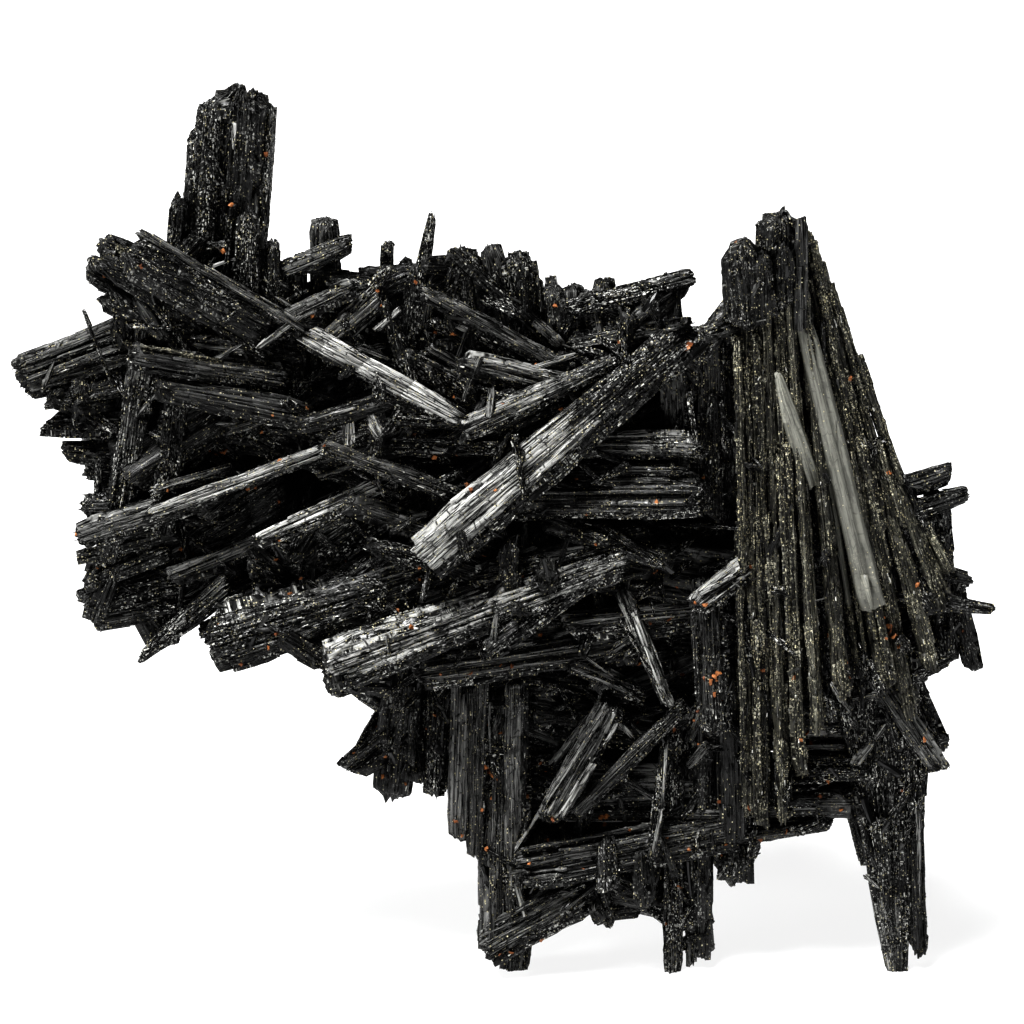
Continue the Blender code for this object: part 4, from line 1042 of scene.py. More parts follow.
# %% Where a ray lands
RIGHTWARD = np.array([1.0, 0.0, 0.0])
UPWARD = np.array([0.0, math.sin(VIEW_TILT), math.cos(VIEW_TILT)])
FOOT_RISE = CENTRE_BACK * math.sin(VIEW_TILT)
MIDDLE = np.array([0.0, 0.0, 52.0])
FAR, FRONT_FAR = 150.0, 200.0
HALF_WIDE, HALF_HIGH = 62.0, 66.0
FLOOR_CLEARANCE = 0.4


def read(items, label, width=1, kind=np.float32):
    """A value of all items of a mesh, as an array with so many columns."""
    values = np.empty(len(items) * width, kind)
    items.foreach_get(label, values)
    return values.reshape(-1, width) if width > 1 else values


class Surface:
    """All pieces as one search tree in millimetres, with each triangle's values."""

    def __init__(self, pieces):
        corners, faces, ahead, painted_sheen, finish, start = [], [], [], [], [], 0
        for mesh in [piece.data for piece in pieces]:
            triangles = read(mesh.loops, "vertex_index", 1, np.int32).reshape(-1, 3)
            first = triangles[:, 0]
            corners.append(read(mesh.vertices, "co", 3) / MM)
            faces.append(triangles + start)
            ahead.append(read(mesh.attributes["ahead"].data, "vector", 3)[first])
            painted_sheen.append(read(mesh.attributes["painted_sheen"].data, "value")[first])
            finish.append(read(mesh.polygons, "material_index", 1, np.int32))
            start += len(mesh.vertices)
        self.tree = BVHTree.FromPolygons(np.concatenate(corners).tolist(),
                                         np.concatenate(faces).tolist(), all_triangles=True)
        self.ahead, self.painted_sheen = np.concatenate(ahead), np.concatenate(painted_sheen)
        self.finish = np.concatenate(finish)
        print("triangles searched", len(self.finish))

    def hit(self, start, toward):
        """What a ray against `toward` meets first: position, direction of the face and triangle."""
        return self.tree.ray_cast(Vector(start), Vector(-toward))[:3]


surface = Surface(near_pieces)


def seen_at(across, up, toward=0.0):
    """A position in millimetres from the front view and a distance toward the viewer."""
    return RIGHTWARD * (across - CENTRE_ACROSS) + UPWARD * (up - FOOT_RISE) + VIEWER * toward


def depth_at(across, up):
    """How far toward the viewer the nearest crystal lies there, or None."""
    spot = surface.hit(seen_at(across, up, FRONT_FAR), VIEWER)[0]
    return None if spot is None else float(np.dot(spot, VIEWER))


def covered(points):
    """Whether a crystal lies on the front view's line through each point."""
    return np.array([surface.hit(point + VIEWER * FRONT_FAR, VIEWER)[0] is not None for point in points])


# %% [markdown]
# Most rays come from the front, where the cluster is looked at, and the rest come from the other
# sides, so that no side stays plain. A ray that lands at the very foot is left out.

# %% Rays from all round
def facing_axes(azimuth, elevation):
    """Rightward, upward and toward directions of a view of the cluster."""
    az, el = math.radians(azimuth), math.radians(elevation)
    toward = np.array([math.sin(az) * math.cos(el), -math.cos(az) * math.cos(el), math.sin(el)])
    right = np.array([math.cos(az), math.sin(az), 0.0])
    return right, np.cross(right, -toward), toward


def landed(count, azimuth, elevation, rng):
    """Rays from one side: positions, surface directions and triangle numbers where they land."""
    right, rise, toward = facing_axes(azimuth, elevation)
    found = []
    while len(found) < count:
        start = (MIDDLE + toward * FAR + right * rng.uniform(-HALF_WIDE, HALF_WIDE)
                 + rise * rng.uniform(-HALF_HIGH, HALF_HIGH))
        spot, normal, index = surface.hit(start, toward)
        if index is not None and spot.z > FLOOR_CLEARANCE:
            normal = normal if normal.dot(Vector(toward)) > 0 else -normal
            found.append((*spot, *normal, index))
    found = np.array(found)
    return found[:, :3], found[:, 3:6], found[:, 6].astype(int)


SIDES_SEEN = [(0, 20, 0.44), (45, 25, 0.09), (-45, 25, 0.09), (90, 5, 0.06), (-90, 5, 0.06),
              (180, 10, 0.08), (135, 20, 0.06), (225, 15, 0.06), (0, 70, 0.06)]


def landed_all_round(count, rng):
    """Rays shared out over the sides, most of them on the front."""
    parts = [landed(int(count * share), azimuth, elevation, rng)
             for azimuth, elevation, share in SIDES_SEEN]
    return [np.concatenate(values) for values in zip(*parts)]


# %% [markdown]
# Splinters and micro-crystals are one small shape repeated, so Geometry Nodes place them. The
# tree takes a cloud of points that carry a direction and a size, stands a tapered prism of a few
# faces on each, and turns every prism by its own random angle. Three uneven prisms take turns.

# %% The tree that strews small prisms
SETTINGS = (("Sides", "NodeSocketInt", 4), ("Steps", "NodeSocketInt", 1), ("Tip Share", NUMBER, 0.6),
            ("Raggedness", NUMBER, 0.1), ("Turn Seed", "NodeSocketInt", 3))


def uneven_prism(tree, given, seed):
    """A tapered prism one unit long, with its points shifted at random."""
    prism = tree.nodes.new("GeometryNodeMeshCone")
    feed_all(tree, prism.inputs, Vertices=given["Sides"], Side_Segments=given["Steps"],
             Radius_Top=times(tree, given["Tip Share"], 0.5), Radius_Bottom=0.5, Depth=1.0)
    shift = new_node(tree, "FunctionNodeRandomValue", data_type="FLOAT_VECTOR")
    feed_all(tree, shift.inputs, Seed=seed, Min=(-1.0, -1.0, -0.6), Max=(1.0, 1.0, 0.6))
    moved = tree.nodes.new("GeometryNodeSetPosition")
    feed_all(tree, moved.inputs, Geometry=prism.outputs["Mesh"],
             Offset=vector_calc(tree, "SCALE", shift.outputs["Value"], given["Raggedness"]))
    single = tree.nodes.new("GeometryNodeGeometryToInstance")
    feed(tree, single.inputs[0], moved.outputs[0])
    return single.outputs[0]


def strew_tree():
    """Geometry Nodes that put a small tapered prism on every point."""
    tree = bpy.data.node_groups.new("strewn_prisms", "GeometryNodeTree")
    sockets, geometry = tree.interface, "NodeSocketGeometry"
    sockets.new_socket("Geometry", in_out="INPUT", socket_type=geometry)
    for label, kind, value in SETTINGS:
        sockets.new_socket(label, in_out="INPUT", socket_type=kind).default_value = value
    sockets.new_socket("Finish", in_out="INPUT", socket_type="NodeSocketMaterial")
    sockets.new_socket("Geometry", in_out="OUTPUT", socket_type=geometry)
    nodes, given = tree.nodes, tree.nodes.new("NodeGroupInput").outputs
    shapes = nodes.new("GeometryNodeJoinGeometry")
    for seed in (1, 2, 3):
        feed(tree, shapes.inputs[0], uneven_prism(tree, given, seed))
    stored = {}
    for label in ("ahead", "size"):
        node = new_node(tree, "GeometryNodeInputNamedAttribute", data_type="FLOAT_VECTOR")
        node.inputs["Name"].default_value = label
        stored[label] = node.outputs["Attribute"]
    angle = nodes.new("FunctionNodeRandomValue")
    angle.inputs[3].default_value = math.tau
    feed(tree, angle.inputs["Seed"], given["Turn Seed"])
    spin, turn = nodes.new("ShaderNodeCombineXYZ"), nodes.new("FunctionNodeEulerToRotation")
    feed(tree, spin.inputs[2], angle.outputs[1])
    feed(tree, turn.inputs[0], spin.outputs[0])
    aim = new_node(tree, "FunctionNodeAlignRotationToVector", axis="Z")
    feed_all(tree, aim.inputs, Rotation=turn.outputs[0], Vector=stored["ahead"])
    copies, solid = nodes.new("GeometryNodeInstanceOnPoints"), nodes.new("GeometryNodeRealizeInstances")
    feed_all(tree, copies.inputs, Points=given["Geometry"], Instance=shapes.outputs[0],
             Pick_Instance=True, Rotation=aim.outputs[0], Scale=stored["size"])
    feed(tree, solid.inputs[0], copies.outputs[0])
    finish = nodes.new("GeometryNodeSetMaterial")
    feed_all(tree, finish.inputs, Geometry=solid.outputs[0], Material=given["Finish"])
    feed(tree, nodes.new("NodeGroupOutput").inputs[0], finish.outputs[0])
    return tree


STREW = strew_tree()


def strew(name, points, ahead, size, own, finish, **settings):
    """A piece made of one small prism at each point; lengths in millimetres."""
    cloud = bpy.data.meshes.new(name + "_points")
    cloud.from_pydata((points * MM).tolist(), [], [])
    store(cloud, "ahead", "FLOAT_VECTOR", ahead)
    store(cloud, "size", "FLOAT_VECTOR", size * MM)
    store(cloud, "own", "FLOAT", own)
    holder = add_object(name + "_points", cloud)
    modifier = holder.modifiers.new("strewn", "NODES")
    modifier.node_group = STREW
    sockets = {item.name: item.identifier for item in STREW.interface.items_tree
               if item.in_out == "INPUT"}
    for label, value in dict(settings, Finish=finish).items():
        modifier[sockets[label.replace("_", " ")]] = value
    ready = holder.evaluated_get(bpy.context.evaluated_depsgraph_get())
    mesh = bpy.data.meshes.new_from_object(ready)
    bpy.data.objects.remove(holder)
    mesh.name = name
    lifted = read(mesh.vertices, "co", 3)
    lifted[:, 2] = lifted[:, 2].clip(0.0)
    mesh.vertices.foreach_set("co", lifted.ravel())
    mesh.materials.clear()
    mesh.materials.append(finish)
    return declare(add_object(name, mesh))


# %% [markdown]
# A crystal laid on others touches them where they stand highest. So a blade or a splinter between two
# points of the front view is lifted until little stands above it. The olive ribs of the spire are
# short lengths, and they rest at their two ends.

# %% Laying a crystal on the others
def resting(first, last, above=0.1):
    """Ends of a blade that lies on everything between two points of the front view."""
    shares = np.linspace(0.0, 1.0, 12)
    line = [np.array(first) + (np.array(last) - first) * share for share in shares]
    known = [(share, depth_at(*spot)) for share, spot in zip(shares, line)]
    shares, depths = np.array([pair for pair in known if pair[1] is not None]).T
    span = math.dist(first, last) * 0.5
    slope = float(np.clip(depths[-1] - depths[0], -span, span))
    spare = depths - slope * shares
    level = spare.mean() + (spare - spare.mean()).max() * 0.7 + above
    return seen_at(*first, level), seen_at(*last, level + slope)


SLENDER = dict(sides=5, rib=0.35, spacing=1.0, ragged=0.04)


def lay_olive(heap, first, last, width, dust, lift=0.25):
    """An olive splinter laid on the crystals between two points of the front view."""
    depths = [depth_at(*first), depth_at(*last)]
    if depths[0] is None and depths[1] is None:
        return
    span = math.dist(first, last) * 0.6
    known = max(depth for depth in depths if depth is not None)
    depths = [known if depth is None else max(depth, known - span) for depth in depths]
    start = seen_at(*first, depths[0] + lift * width)
    end = seen_at(*last, depths[1] + lift * width)
    crystal(heap, start, end, width, width * 0.9, chance.uniform(0.0, 3.0), 0.85, chance,
            relief=0.14, dust=dust, finish=OLIVE, **SLENDER)


# %% [markdown]
# Broken bits of crystal fill the hollows between the large prisms. Where a ray lands much deeper
# than its neighbours do, a short stub is set in the hollow, often along the crystal beside it.

# %% Stubs in the hollows
NEIGHBOUR_REACH, HOLLOW_DEPTH, STUBS_PER_RAY = 4.5, 0.7, 0.11
STUB_LENGTHS, STUB_WIDTHS = (3.0, 8.0), (0.9, 2.6)
BRIGHT_STUB_SHARE = 0.22


def stub(heap, spot, ahead, missing, toward, rng):
    """Sets one short crystal in a hollow, unless an end would stand out of the cluster."""
    way = ahead * rng.choice([-1.0, 1.0]) * rng.uniform(0.0, 1.6)
    way = way + rng.normal(0.0, 0.7, 3)
    way -= toward * (way @ toward) * 0.8
    way /= np.linalg.norm(way)
    middle = spot + toward * min(missing, 3.0) * rng.uniform(0.0, 0.5)
    length, wide = rng.uniform(*STUB_LENGTHS), rng.uniform(*STUB_WIDTHS)
    finish = DARK if rng.random() < SMOOTH_SHARE else BLACK
    # About a fifth of the stubs get a painted sheen on their lit faces.
    painted_sheen = (1.2, 1.2, rng.uniform(0.1, 0.7)) if rng.random() < BRIGHT_STUB_SHARE else NO_PAINTED_SHEEN
    if covered([middle - way * length * 0.6, middle + way * length * 0.6]).all():
        crystal(heap, middle - way * length / 2, middle + way * length / 2, wide,
                wide * rng.uniform(0.5, 0.9), rng.uniform(0.0, 3.0), rng.uniform(0.6, 1.0), rng,
                finish=finish, painted_sheen=painted_sheen)


def stub_hollows(name, sides, rng):
    """A piece of short crystals standing in the hollows seen from the given sides."""
    heap = Heap()
    for azimuth, elevation, rays in sides:
        toward = facing_axes(azimuth, elevation)[2]
        spots, _, index = landed(rays, azimuth, elevation, rng)
        depth = spots @ toward
        flat = spots - depth[:, None] * toward
        near = np.linalg.norm(flat[:, None] - flat[None], axis=2) < NEIGHBOUR_REACH
        missing = (near * depth).sum(axis=1) / near.sum(axis=1) - depth
        for pick in np.flatnonzero(missing > HOLLOW_DEPTH)[:int(rays * STUBS_PER_RAY)]:
            stub(heap, spots[pick], surface.ahead[index[pick]], missing[pick], toward, rng)
    return add_piece(heap, name)


near_pieces.append(stub_hollows("front_stubs", [(0, 20, 2600), (0, 50, 500)], chance))
near_pieces.append(stub_hollows("side_stubs", [(azimuth, 12, 500) for azimuth in range(45, 360, 45)],
                                chance))
surface = Surface(near_pieces)

# %% [markdown]
# A real cluster is dense, and light passes only between its outer crystals. So a view is walked on
# a fine grid, and each small opening with crystals on all four sides of it gets a dark stub behind it.

# %% Openings that would let light through
GRID_STEP, GRID_REACH = 0.6, 5
CROWDED = 1.0
BESIDE = ((0, 1), (0, -1), (1, 1), (1, -1))


def depths_over(ticks, right, rise, toward):
    """Depth of the surface on a grid of the view, or nan where a ray meets nothing."""
    depth = np.full((len(ticks), len(ticks)), np.nan)
    for column, x in enumerate(ticks):
        for row, y in enumerate(ticks):
            spot = surface.hit(MIDDLE + right * x + rise * y + toward * FAR, toward)[0]
            if spot is not None:
                depth[column, row] = (np.array(spot) - MIDDLE) @ toward
    return depth


def close_openings(heap, azimuth, elevation, rng):
    """Stubs behind every small opening that has crystals on all four sides of it."""
    right, rise, toward = facing_axes(azimuth, elevation)
    ticks, reach = np.arange(-HALF_HIGH, HALF_HIGH, GRID_STEP), GRID_REACH
    depth = depths_over(ticks, right, rise, toward)
    solid = ~np.isnan(depth)
    beside = [np.any([np.roll(solid, way * cell, axis) for cell in range(1, reach)], axis=0)
              for axis, way in BESIDE]
    filled = []
    for column, row in np.argwhere(~solid & np.all(beside, axis=0)):
        flat = np.array([ticks[column], ticks[row]])
        nearby = depth[column - reach:column + reach + 1, row - reach:row + reach + 1]
        level = float(np.nanmedian(nearby)) - rng.uniform(1.0, 2.5)
        turn, half = rng.uniform(0.0, math.pi), rng.uniform(2.6, 4.2)
        middle = MIDDLE + right * flat[0] + rise * flat[1] + toward * level
        swing = (right * math.cos(turn) + rise * math.sin(turn)) * half
        crowded = any(np.hypot(*(flat - other)) < CROWDED for other in filled)
        if not crowded and covered([middle - swing, middle + swing]).all():
            filled.append(flat)
            crystal(heap, middle - swing, middle + swing, 3.6, 2.4, 0.3, 0.9, rng, sides=5, rib=0.9,
                    spacing=2.2, finish=DARK)
    print("openings closed", azimuth, elevation, len(filled))


heap = Heap()
for azimuth, elevation in ((0, math.degrees(VIEW_TILT)), (45, 25), (225, 15), (90, 3), (0, 3)):
    close_openings(heap, azimuth, elevation, chance)
near_pieces.append(add_piece(heap, "deep_stubs"))

# %% [markdown]
# The spire is a sheaf of narrow ribs with black gaps between them. Those on its left run almost
# straight down, and those on its right fan out. Each rib is broken into a few lengths.

# %% Ribs of the spire
RIB_LENGTHS, RIB_WIDTHS, RIB_LIFTS = (0.18, 0.5), (0.7, 1.9), (-0.1, 0.5)
heap = Heap()
for ribs, top, top_end, foot, foot_end in (
        (7, (28.2, 79.4), (34.0, 82.0), (30.0, 19.0), (37.6, 27.0)),
        (8, (36.0, 88.0), (39.7, 85.0), (43.4, 36.0), (52.8, 47.0))):
    for share in np.linspace(0.0, 1.0, ribs):
        high = np.array(top) + (np.array(top_end) - top) * share
        low = np.array(foot) + (np.array(foot_end) - foot) * share
        at = chance.uniform(0.0, 0.10)
        while at < 0.93:
            until = min(1.0, at + chance.uniform(*RIB_LENGTHS))
            shift = np.array([chance.normal(0.0, 0.22), 0.0])
            lay_olive(heap, tuple(high + (low - high) * at + shift),
                      tuple(high + (low - high) * until + shift), chance.uniform(*RIB_WIDTHS), 1.0,
                      chance.uniform(*RIB_LIFTS))
            at = until + chance.uniform(-0.08, 0.06)
near_pieces.append(add_piece(heap, "spire_ribs"))
surface = Surface(near_pieces)

# %% [markdown]
# A few blades of the spire are smooth: three pale satin ones lie open on its front, and a dark one
# stands above them. Their ribs are wide and shallow, so the light lies on them in one broad streak.

# %% Smooth blades of the spire
heap = Heap()
for first, last, wide, thick, point, finish, painted_sheen in (
        # The dark blade gets a faint painted sheen on its lit faces.
        ((36.3, 92.2), (36.3, 78.6), 1.7, 1.6, 1.1, DARK, (1.0, 1.0, 0.10)),
        ((36.5, 79.4), (45.0, 44.4), 3.1, 1.6, 1.30, SATIN, NO_PAINTED_SHEEN),
        ((39.2, 63.0), (42.3, 44.6), 1.0, 1.4, 1.0, SATIN, NO_PAINTED_SHEEN),
        ((33.4, 73.2), (37.8, 59.6), 1.6, 1.4, 2.0, SATIN, NO_PAINTED_SHEEN)):
    crystal(heap, *resting(first, last), wide, thick, 0.1, point, chance, rib=1.2, spacing=2.5,
            relief=0.015, ragged=0.01, dust=0.5, finish=finish, painted_sheen=painted_sheen, cracked=0.1)
add_piece(heap, "spire_blades")

# %% [markdown]
# Some splinters are large enough to be told apart, so they are listed: two ends as across and up, and
# a width. The bright ones carry a painted sheen on their lit faces. Three more, covered with pale dust,
# lie on the left arm.

# %% Splinters that can be told apart
SPLINTERS = [
    (-51, 81, -47, 70, .8), (-48, 83.5, -46, 76, .8), (-46, 88.7, -41, 85, .7),
    (-40.5, 87.5, -33, 82.3, 1.2), (-46, 79, -40, 78.6, 1), (-38, 77.6, -32, 76.6, 1),
    (-35, 79, -29, 75.2, .8), (-34.5, 79.2, -32.5, 80.6, 1), (-13, 67.8, -4, 67.8, .8),
    (-13.5, 65.2, -4, 65, .8), (-13, 62.6, -5, 62.3, .8), (-4, 72, 2, 69.8, 1), (23, 78.8, 26, 78.7, .6),
    (12, 77.7, 14.5, 75.3, 1), (14, 79.5, 15.3, 74.5, 1.2), (22.5, 71, 24, 62, 1.2), (26.5, 70, 28, 62, 1),
    (22, 57, 24.8, 60, 1), (23.9, 57.8, 26.2, 55, .8), (25.8, 57.8, 28.5, 59, .4), (20, 54.8, 30, 54.2, .7),
    (20.3, 48.2, 23, 50.3, 1), (20.5, 51, 23, 53, 1.5), (-25, 56.8, -21.7, 59.5, .6),
    (-22.8, 51.2, -20.4, 51.8, 1), (-27, 49.8, -22, 49.5, .8), (-22, 49.5, -17, 48.5, .8),
    (-17, 48.5, -14, 47, .8), (-18.5, 45.8, -14, 47, 1), (-38, 53, -33, 49, 1), (-43, 57.3, -41, 57.8, .8),
    (2, 36, 10, 34, 1.4), (14.2, 43.5, 19, 35, 1), (17.9, 45.7, 18.7, 43, .6), (48.7, 61, 51.5, 54, 1),
    (42, 47.5, 43.3, 43.5, .5), (31.5, 36, 32.5, 32, .4), (41.5, 37.5, 42.7, 36, .6),
    (45, 38.5, 46, 34, 1.3), (47.2, 38, 47.5, 35.5, .6), (-17.2, 25.2, -14.8, 26.8, .7),
    (-14.3, 32, -13.8, 23, .7), (-9.7, 34, -9.6, 25, .8), (24, 17.5, 23.6, 14.5, .7),
    (25.5, 17.5, 25.8, 14.5, .6), (34, 20.3, 38, 20.3, .5), (34.5, 22.2, 38.5, 22.5, .4),
    (38.2, 20.3, 38.8, 17.5, .3), (33.3, 26, 33.4, 21.5, .7), (15, 24.7, 15.3, 22, .8)]
BRIGHT_SPLINTERS = [
    (-30, 76, -24.5, 80, 1.3), (-15.5, 78.3, -12.5, 81, 1.5), (-24, 67.2, -17.7, 69, 1),
    (-42, 59, -37, 60.5, .8), (8.3, 37.3, 15.3, 34.3, 1.2), (12, 37.5, 16, 35.5, 1),
    (9, 39.3, 13.5, 36.2, .6), (40, 35.5, 42.5, 31.8, 1), (-1.7, 33.2, -1.6, 26, .5), (-3, 4.2, 4, 7.2, .6),
    (6, 25.3, 11, 32, 1.5), (5, 20.5, 12.5, 32, 1.2), (7, 19, 11, 25.5, 2), (12.5, 28, 14, 30.5, 1),
    (13.9, 30.7, 16, 28.5, 1.1), (15.5, 30.8, 16.8, 29.2, .6), (20, 28, 19.5, 20, 1),
    (19.5, 20, 18.3, 14, 1), (38.3, 22.5, 43.2, 24.6, .6), (44.3, 11.8, 46.1, 10.2, .8),
    (50.8, 20, 51.2, 8, 1.0), (24, 46.2, 28.3, 48.6, 1.2), (15.8, 44.4, 19.6, 34, 1.0)]
heap = Heap()
for rows, dust in ((SPLINTERS, 0.6), (BRIGHT_SPLINTERS, 0.3)):
    for *ends, width in rows:
        roll = chance.uniform(0.0, 3.0)
        painted_sheen = (1.3, 1.3, chance.uniform(0.5, 1.0)) if rows is BRIGHT_SPLINTERS else NO_PAINTED_SHEEN
        crystal(heap, *resting(ends[:2], ends[2:]), width, width * 0.8, roll, 0.85, chance,
                relief=0.07, dust=dust, painted_sheen=painted_sheen, **SLENDER)
for *ends, width in ((-46.3, 77.0, -27.6, 74.4, 1.4), (-44, 76.2, -34, 74.6, 1.2),
                     (-47, 88.6, -43, 86.4, 1.2)):
    lay_olive(heap, ends[:2], ends[2:], width, 2.5)
add_piece(heap, "laid_splinters")

# %% [markdown]
# The rest of the splinters are strewn. Each lies nearly flat on the face where its ray landed, turned
# more or less along the crystal, and it stays only where both of its ends lie over other crystals.
# The satin blades stay clean, and the olive spire carries few.

# %% Splinters of the jumble
LOOSE_RAYS, MICRO_RAYS = 750, 38000


def unit(ways):
    """The same directions with a length of one."""
    return ways / np.linalg.norm(ways, axis=1, keepdims=True)


spots, normals, index = landed_all_round(LOOSE_RAYS, chance)
many = len(spots)
wild = chance.normal(0.0, 1.0, (many, 3))
wild -= normals * (wild * normals).sum(axis=1, keepdims=True)
way = unit(wild) + normals * chance.uniform(-0.2, 0.05, (many, 1))
way = unit(way + surface.ahead[index] * chance.normal(0.0, 1.6, (many, 1)))
length = chance.lognormal(0.5, 0.40, many)
width = (length * chance.uniform(0.12, 0.35, many)).clip(0.25, 1.2)
size = np.stack([width, width * chance.uniform(0.5, 1.0, many), length], axis=1)
# Faces with a strong painted sheen get no splinters.
keep = (surface.finish[index] != SATIN) & (surface.painted_sheen[index] < 0.5)
keep &= (surface.finish[index] != OLIVE) | (chance.random(many) < 0.12)
foot = spots - way * length[:, None] * 0.4
keep &= covered(spots + way * length[:, None] * 0.6) & covered(foot)
own = 0.7 * chance.random(many) / (0.7 + width)
strew("loose_splinters", foot[keep], way[keep], size[keep], own[keep], SPLINTER, Sides=6, Steps=3,
      Tip_Share=0.7, Raggedness=0.08)

# %% [markdown]
# Micro-crystals lie along the crystal that they grew on, in drifts. Faces with a full painted sheen
# and the satin blades have none, faces with less sheen have fewer, and so do the olive and the smooth
# crystals. They fill three pieces, so that no piece gets too large.

# %% Micro-crystals along the crystals
OLIVE_SHARE, DARK_SHARE = 0.4, 0.25
DRIFT_PER_MM = 0.16
spots, normals, index = landed_all_round(MICRO_RAYS, chance)
many = len(spots)
way = surface.ahead[index] * np.where(chance.random((many, 1)) < 0.5, 1.0, -1.0)
way = way + normals * chance.uniform(-0.10, 0.12, (many, 1)) + chance.normal(0.0, 0.12, (many, 3))
way = unit(way)
length = chance.lognormal(-0.95, 0.40, many)
width = chance.uniform(0.12, 0.28, many)
size = np.stack([width, width * chance.uniform(0.6, 1.0, many), length], axis=1)
finish = surface.finish[index]
keep = (finish != SATIN) & (chance.random(many) > surface.painted_sheen[index])
keep &= (finish != OLIVE) | (chance.random(many) < OLIVE_SHARE)
keep &= (finish != DARK) | (chance.random(many) < DARK_SHARE)
drift = np.array([clump(Vector(spot) * DRIFT_PER_MM) for spot in spots])
keep &= chance.random(many) < 0.75 + 1.6 * drift
foot = spots - way * length[:, None] * 0.3
for number, chosen in enumerate(np.array_split(np.flatnonzero(keep), 3), 1):
    own = (chance.random(many) ** 1.4)[chosen]
    strew(f"micro_crystals_{number}", foot[chosen], way[chosen], size[chosen], own, SPLINTER,
          Sides=4, Steps=1, Tip_Share=0.6, Raggedness=0.06)

# %% [markdown]
# Small orange-brown grains of another mineral sit between the crystals. The ones on the front are
# placed one by one, the large ones as heaps of five, and a few more are scattered over the other sides.

# %% Orange grains
GRAINS = [
    (-21.7, 64.4), (-24, 69), (-6, 70.4), (-10.8, 65.6), (-8.4, 63), (-5.5, 63.3), (-14.8, 81.5),
    (-8.2, 78.2), (-6, 78), (-28, 68.1), (-29.5, 66), (6.4, 81.5), (14.2, 76.9), (24.6, 60.6), (-40.8, 59),
    (-31.2, 59.1), (-30.2, 59.3), (-27.4, 57.6), (-26, 58.3), (-39.4, 51.8), (-37.8, 51.2), (-27.8, 50.4),
    (-31.9, 37.8), (-49.6, 49.5), (-33.8, 60.5), (-4.3, 59.6), (-19.2, 50.4), (-10.2, 49.5), (-10.1, 48),
    (-12.8, 44.3), (-2.3, 51), (-25.9, 46.4), (-24.6, 48.2), (2.3, 48.3), (4.6, 41.3), (-0.3, 37.5),
    (1.2, 37.5), (-7.6, 36.5), (-4, 36.6), (-3.2, 35.7), (-15.5, 30), (-9.3, 29.8), (-8.4, 31.5),
    (10.2, 56), (11.3, 52.4), (18.7, 57.5), (9, 60.3), (18.5, 49), (21.2, 47.2), (23.4, 45.2), (24.6, 45),
    (20.2, 43.2), (18, 42.8), (26.8, 33.2), (23.4, 30.8), (16.6, 37.8), (35.6, 36.1), (22, 36.3),
    (46.5, 43.4), (39.7, 41.2), (42.3, 36.2), (37.2, 29.3), (36.4, 28.5), (56.3, 41.8), (-0.3, 29.3),
    (-14.7, 24), (-12, 23.1), (-14.4, 26.5), (-1.4, 21.3), (4.6, 25.5), (5.2, 24.5), (3, 21.5), (6.1, 18.8),
    (5.5, 16.1), (-5, 16.7), (-5.8, 18.5), (-2, 15.1), (3.3, 13.3), (-0.4, 2.1), (1, 2.3), (4.7, 3.8),
    (20.1, 16.4), (22.7, 15), (21.7, 10.4), (20, 5.8), (21, 29.6), (16.5, 30.5), (24, 27.9), (26.5, 20.8),
    (27.3, 15.5), (26.8, 14.3), (31.6, 16.2), (34.7, 17.1), (39.7, 23.4), (41.5, 19.8), (15.5, 17.4),
    (9.7, 12.7), (38.7, 21.5)]
LARGE_GRAINS = [(22.7, 76.7), (-35, 63.5), (25.8, 36.1), (47.2, 41.7), (-1.5, 24.5), (12.1, 19.1)]
FRONT_RAYS = 110
spots, sizes = [], []
for across, up in GRAINS + LARGE_GRAINS * 5:
    spread = 0.4 if (across, up) in LARGE_GRAINS else 0.0
    across, up = across + chance.normal(0.0, spread), up + chance.normal(0.0, spread)
    depth = depth_at(across, up)
    if depth is not None:
        spots.append(seen_at(across, up, depth))
        sizes.append(chance.uniform(0.2, 0.6, 3) + spread * 0.3)
far_spots = landed_all_round(240, chance)[0][FRONT_RAYS:]
spots = np.concatenate([np.array(spots), far_spots])
size = np.concatenate([np.array(sizes), chance.uniform(0.25, 0.6, (len(far_spots), 3))])
way = unit(chance.normal(0.0, 1.0, spots.shape))
strew("orange_grains", spots - way * size * 0.5, way, size, chance.random(len(spots)), ORANGE,
      Sides=5, Steps=2, Tip_Share=0.7, Raggedness=0.36)

# %% [markdown]
# The cluster is shown on a plain pale floor under soft studio light: a broad key from the upper
# left, a weaker light lower on the same side and a dim room around them. The floor glows a little,
# so that it stays white, and its turned-up rim hides the dark room behind it in low views.

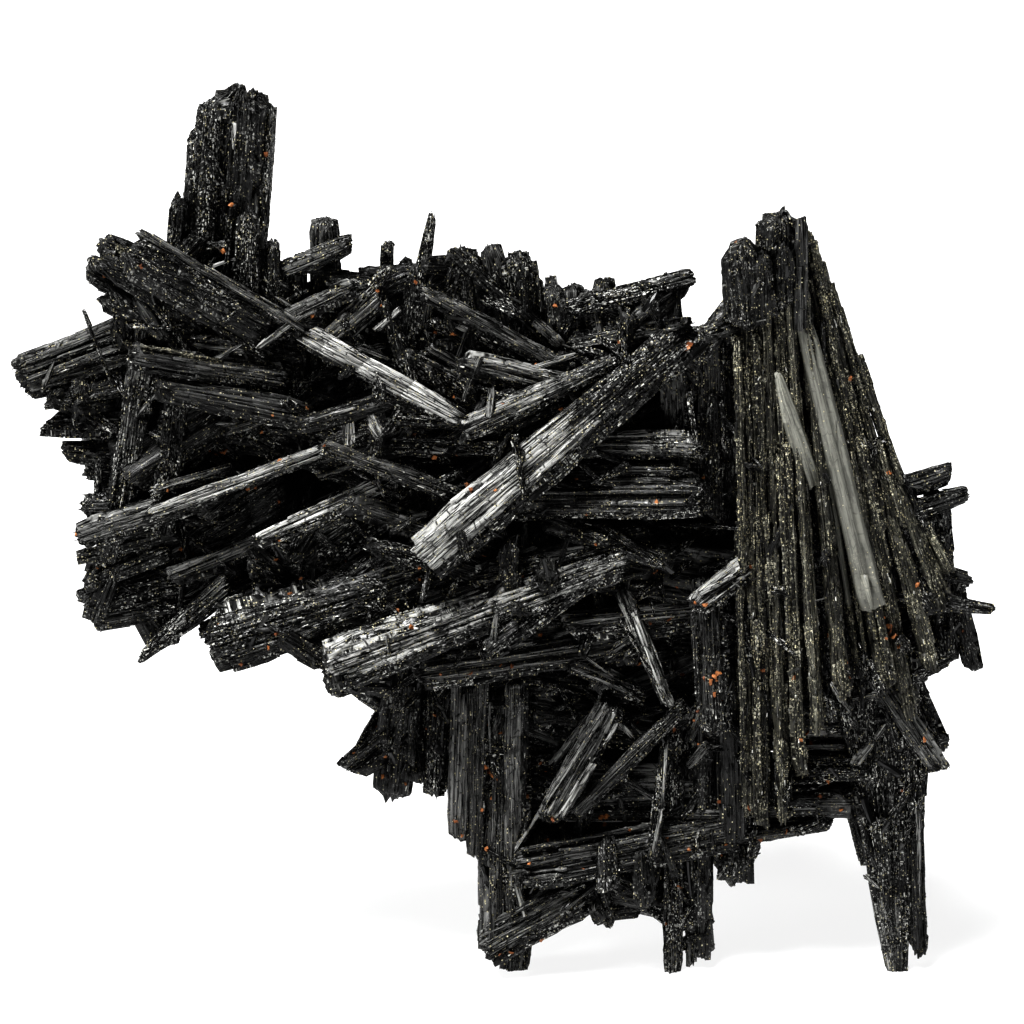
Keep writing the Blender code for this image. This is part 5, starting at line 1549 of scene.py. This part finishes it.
# %% Floor
FLOOR_REACH, FLOOR_RIM = 30.0, 1.0
floor_mesh = bpy.data.meshes.new("floor")
corners = [(-FLOOR_REACH, -FLOOR_REACH), (FLOOR_REACH, -FLOOR_REACH), (FLOOR_REACH, FLOOR_REACH),
           (-FLOOR_REACH, FLOOR_REACH)]
walls = [(b, a, a + 4, b + 4) for a, b in ((0, 1), (1, 2), (2, 3), (3, 0))]
floor_mesh.from_pydata([(*corner, height) for height in (0.0, FLOOR_RIM) for corner in corners], [],
                       [(0, 1, 2, 3)] + walls)
paper, tree, shader = new_material("pale_paper")
feed_all(tree, shader, Base_Color=(0.36, 0.36, 0.36, 1), Emission_Color=(1, 1, 1, 1),
         Emission_Strength=0.62, Roughness=0.9)
floor_mesh.materials.append(paper)
floor = add_object("floor", floor_mesh)


# %% [markdown]
# Two suns light the cluster. A wide angle gives each a soft shadow, as a softbox would, and the key
# stands high on the left, so the ribs that run across it catch long streaks.

# %% Lights
def sun(name, azimuth, elevation, strength, angle):
    """A sun that shines from the given side; its angle makes it soft."""
    light = bpy.data.lights.new(name, "SUN")
    light.energy = strength
    light.angle = math.radians(angle)
    lamp = add_object(name, light)
    lamp.rotation_euler = (math.radians(90 - elevation), 0.0, math.radians(azimuth))


sun("key", azimuth=-48.0, elevation=66.0, strength=4.8, angle=26.0)
sun("side_light", azimuth=-75.0, elevation=30.0, strength=0.7, angle=16.0)
scene = bpy.context.scene
scene.world = bpy.data.worlds.new("room")
scene.world.use_nodes = True
room = scene.world.node_tree
feed_all(room, room.nodes["Background"].inputs, Color=(1, 1, 1, 1), Strength=0.04)

# %% [markdown]
# The camera looks down by the tilt of the front view. It stands three metres off with a long lens,
# so the crystals keep the sizes that the lists give them, near or far.

# %% Camera
CAMERA_DISTANCE = 3.0
FRAME_WIDTH = 0.12564
AIM = Vector((0.000604, 0.0, 0.05353))
lens = bpy.data.cameras.new("camera")
lens.sensor_width = 36.0
lens.lens = lens.sensor_width * CAMERA_DISTANCE / FRAME_WIDTH
lens.clip_end = 200.0
scene.camera = add_object("camera", lens)
scene.camera.location = AIM + Vector(VIEWER) * CAMERA_DISTANCE
scene.camera.rotation_euler = (math.radians(90) - VIEW_TILT, 0.0, 0.0)
scene.view_settings.view_transform = "Standard"
scene.view_settings.look = "High Contrast"
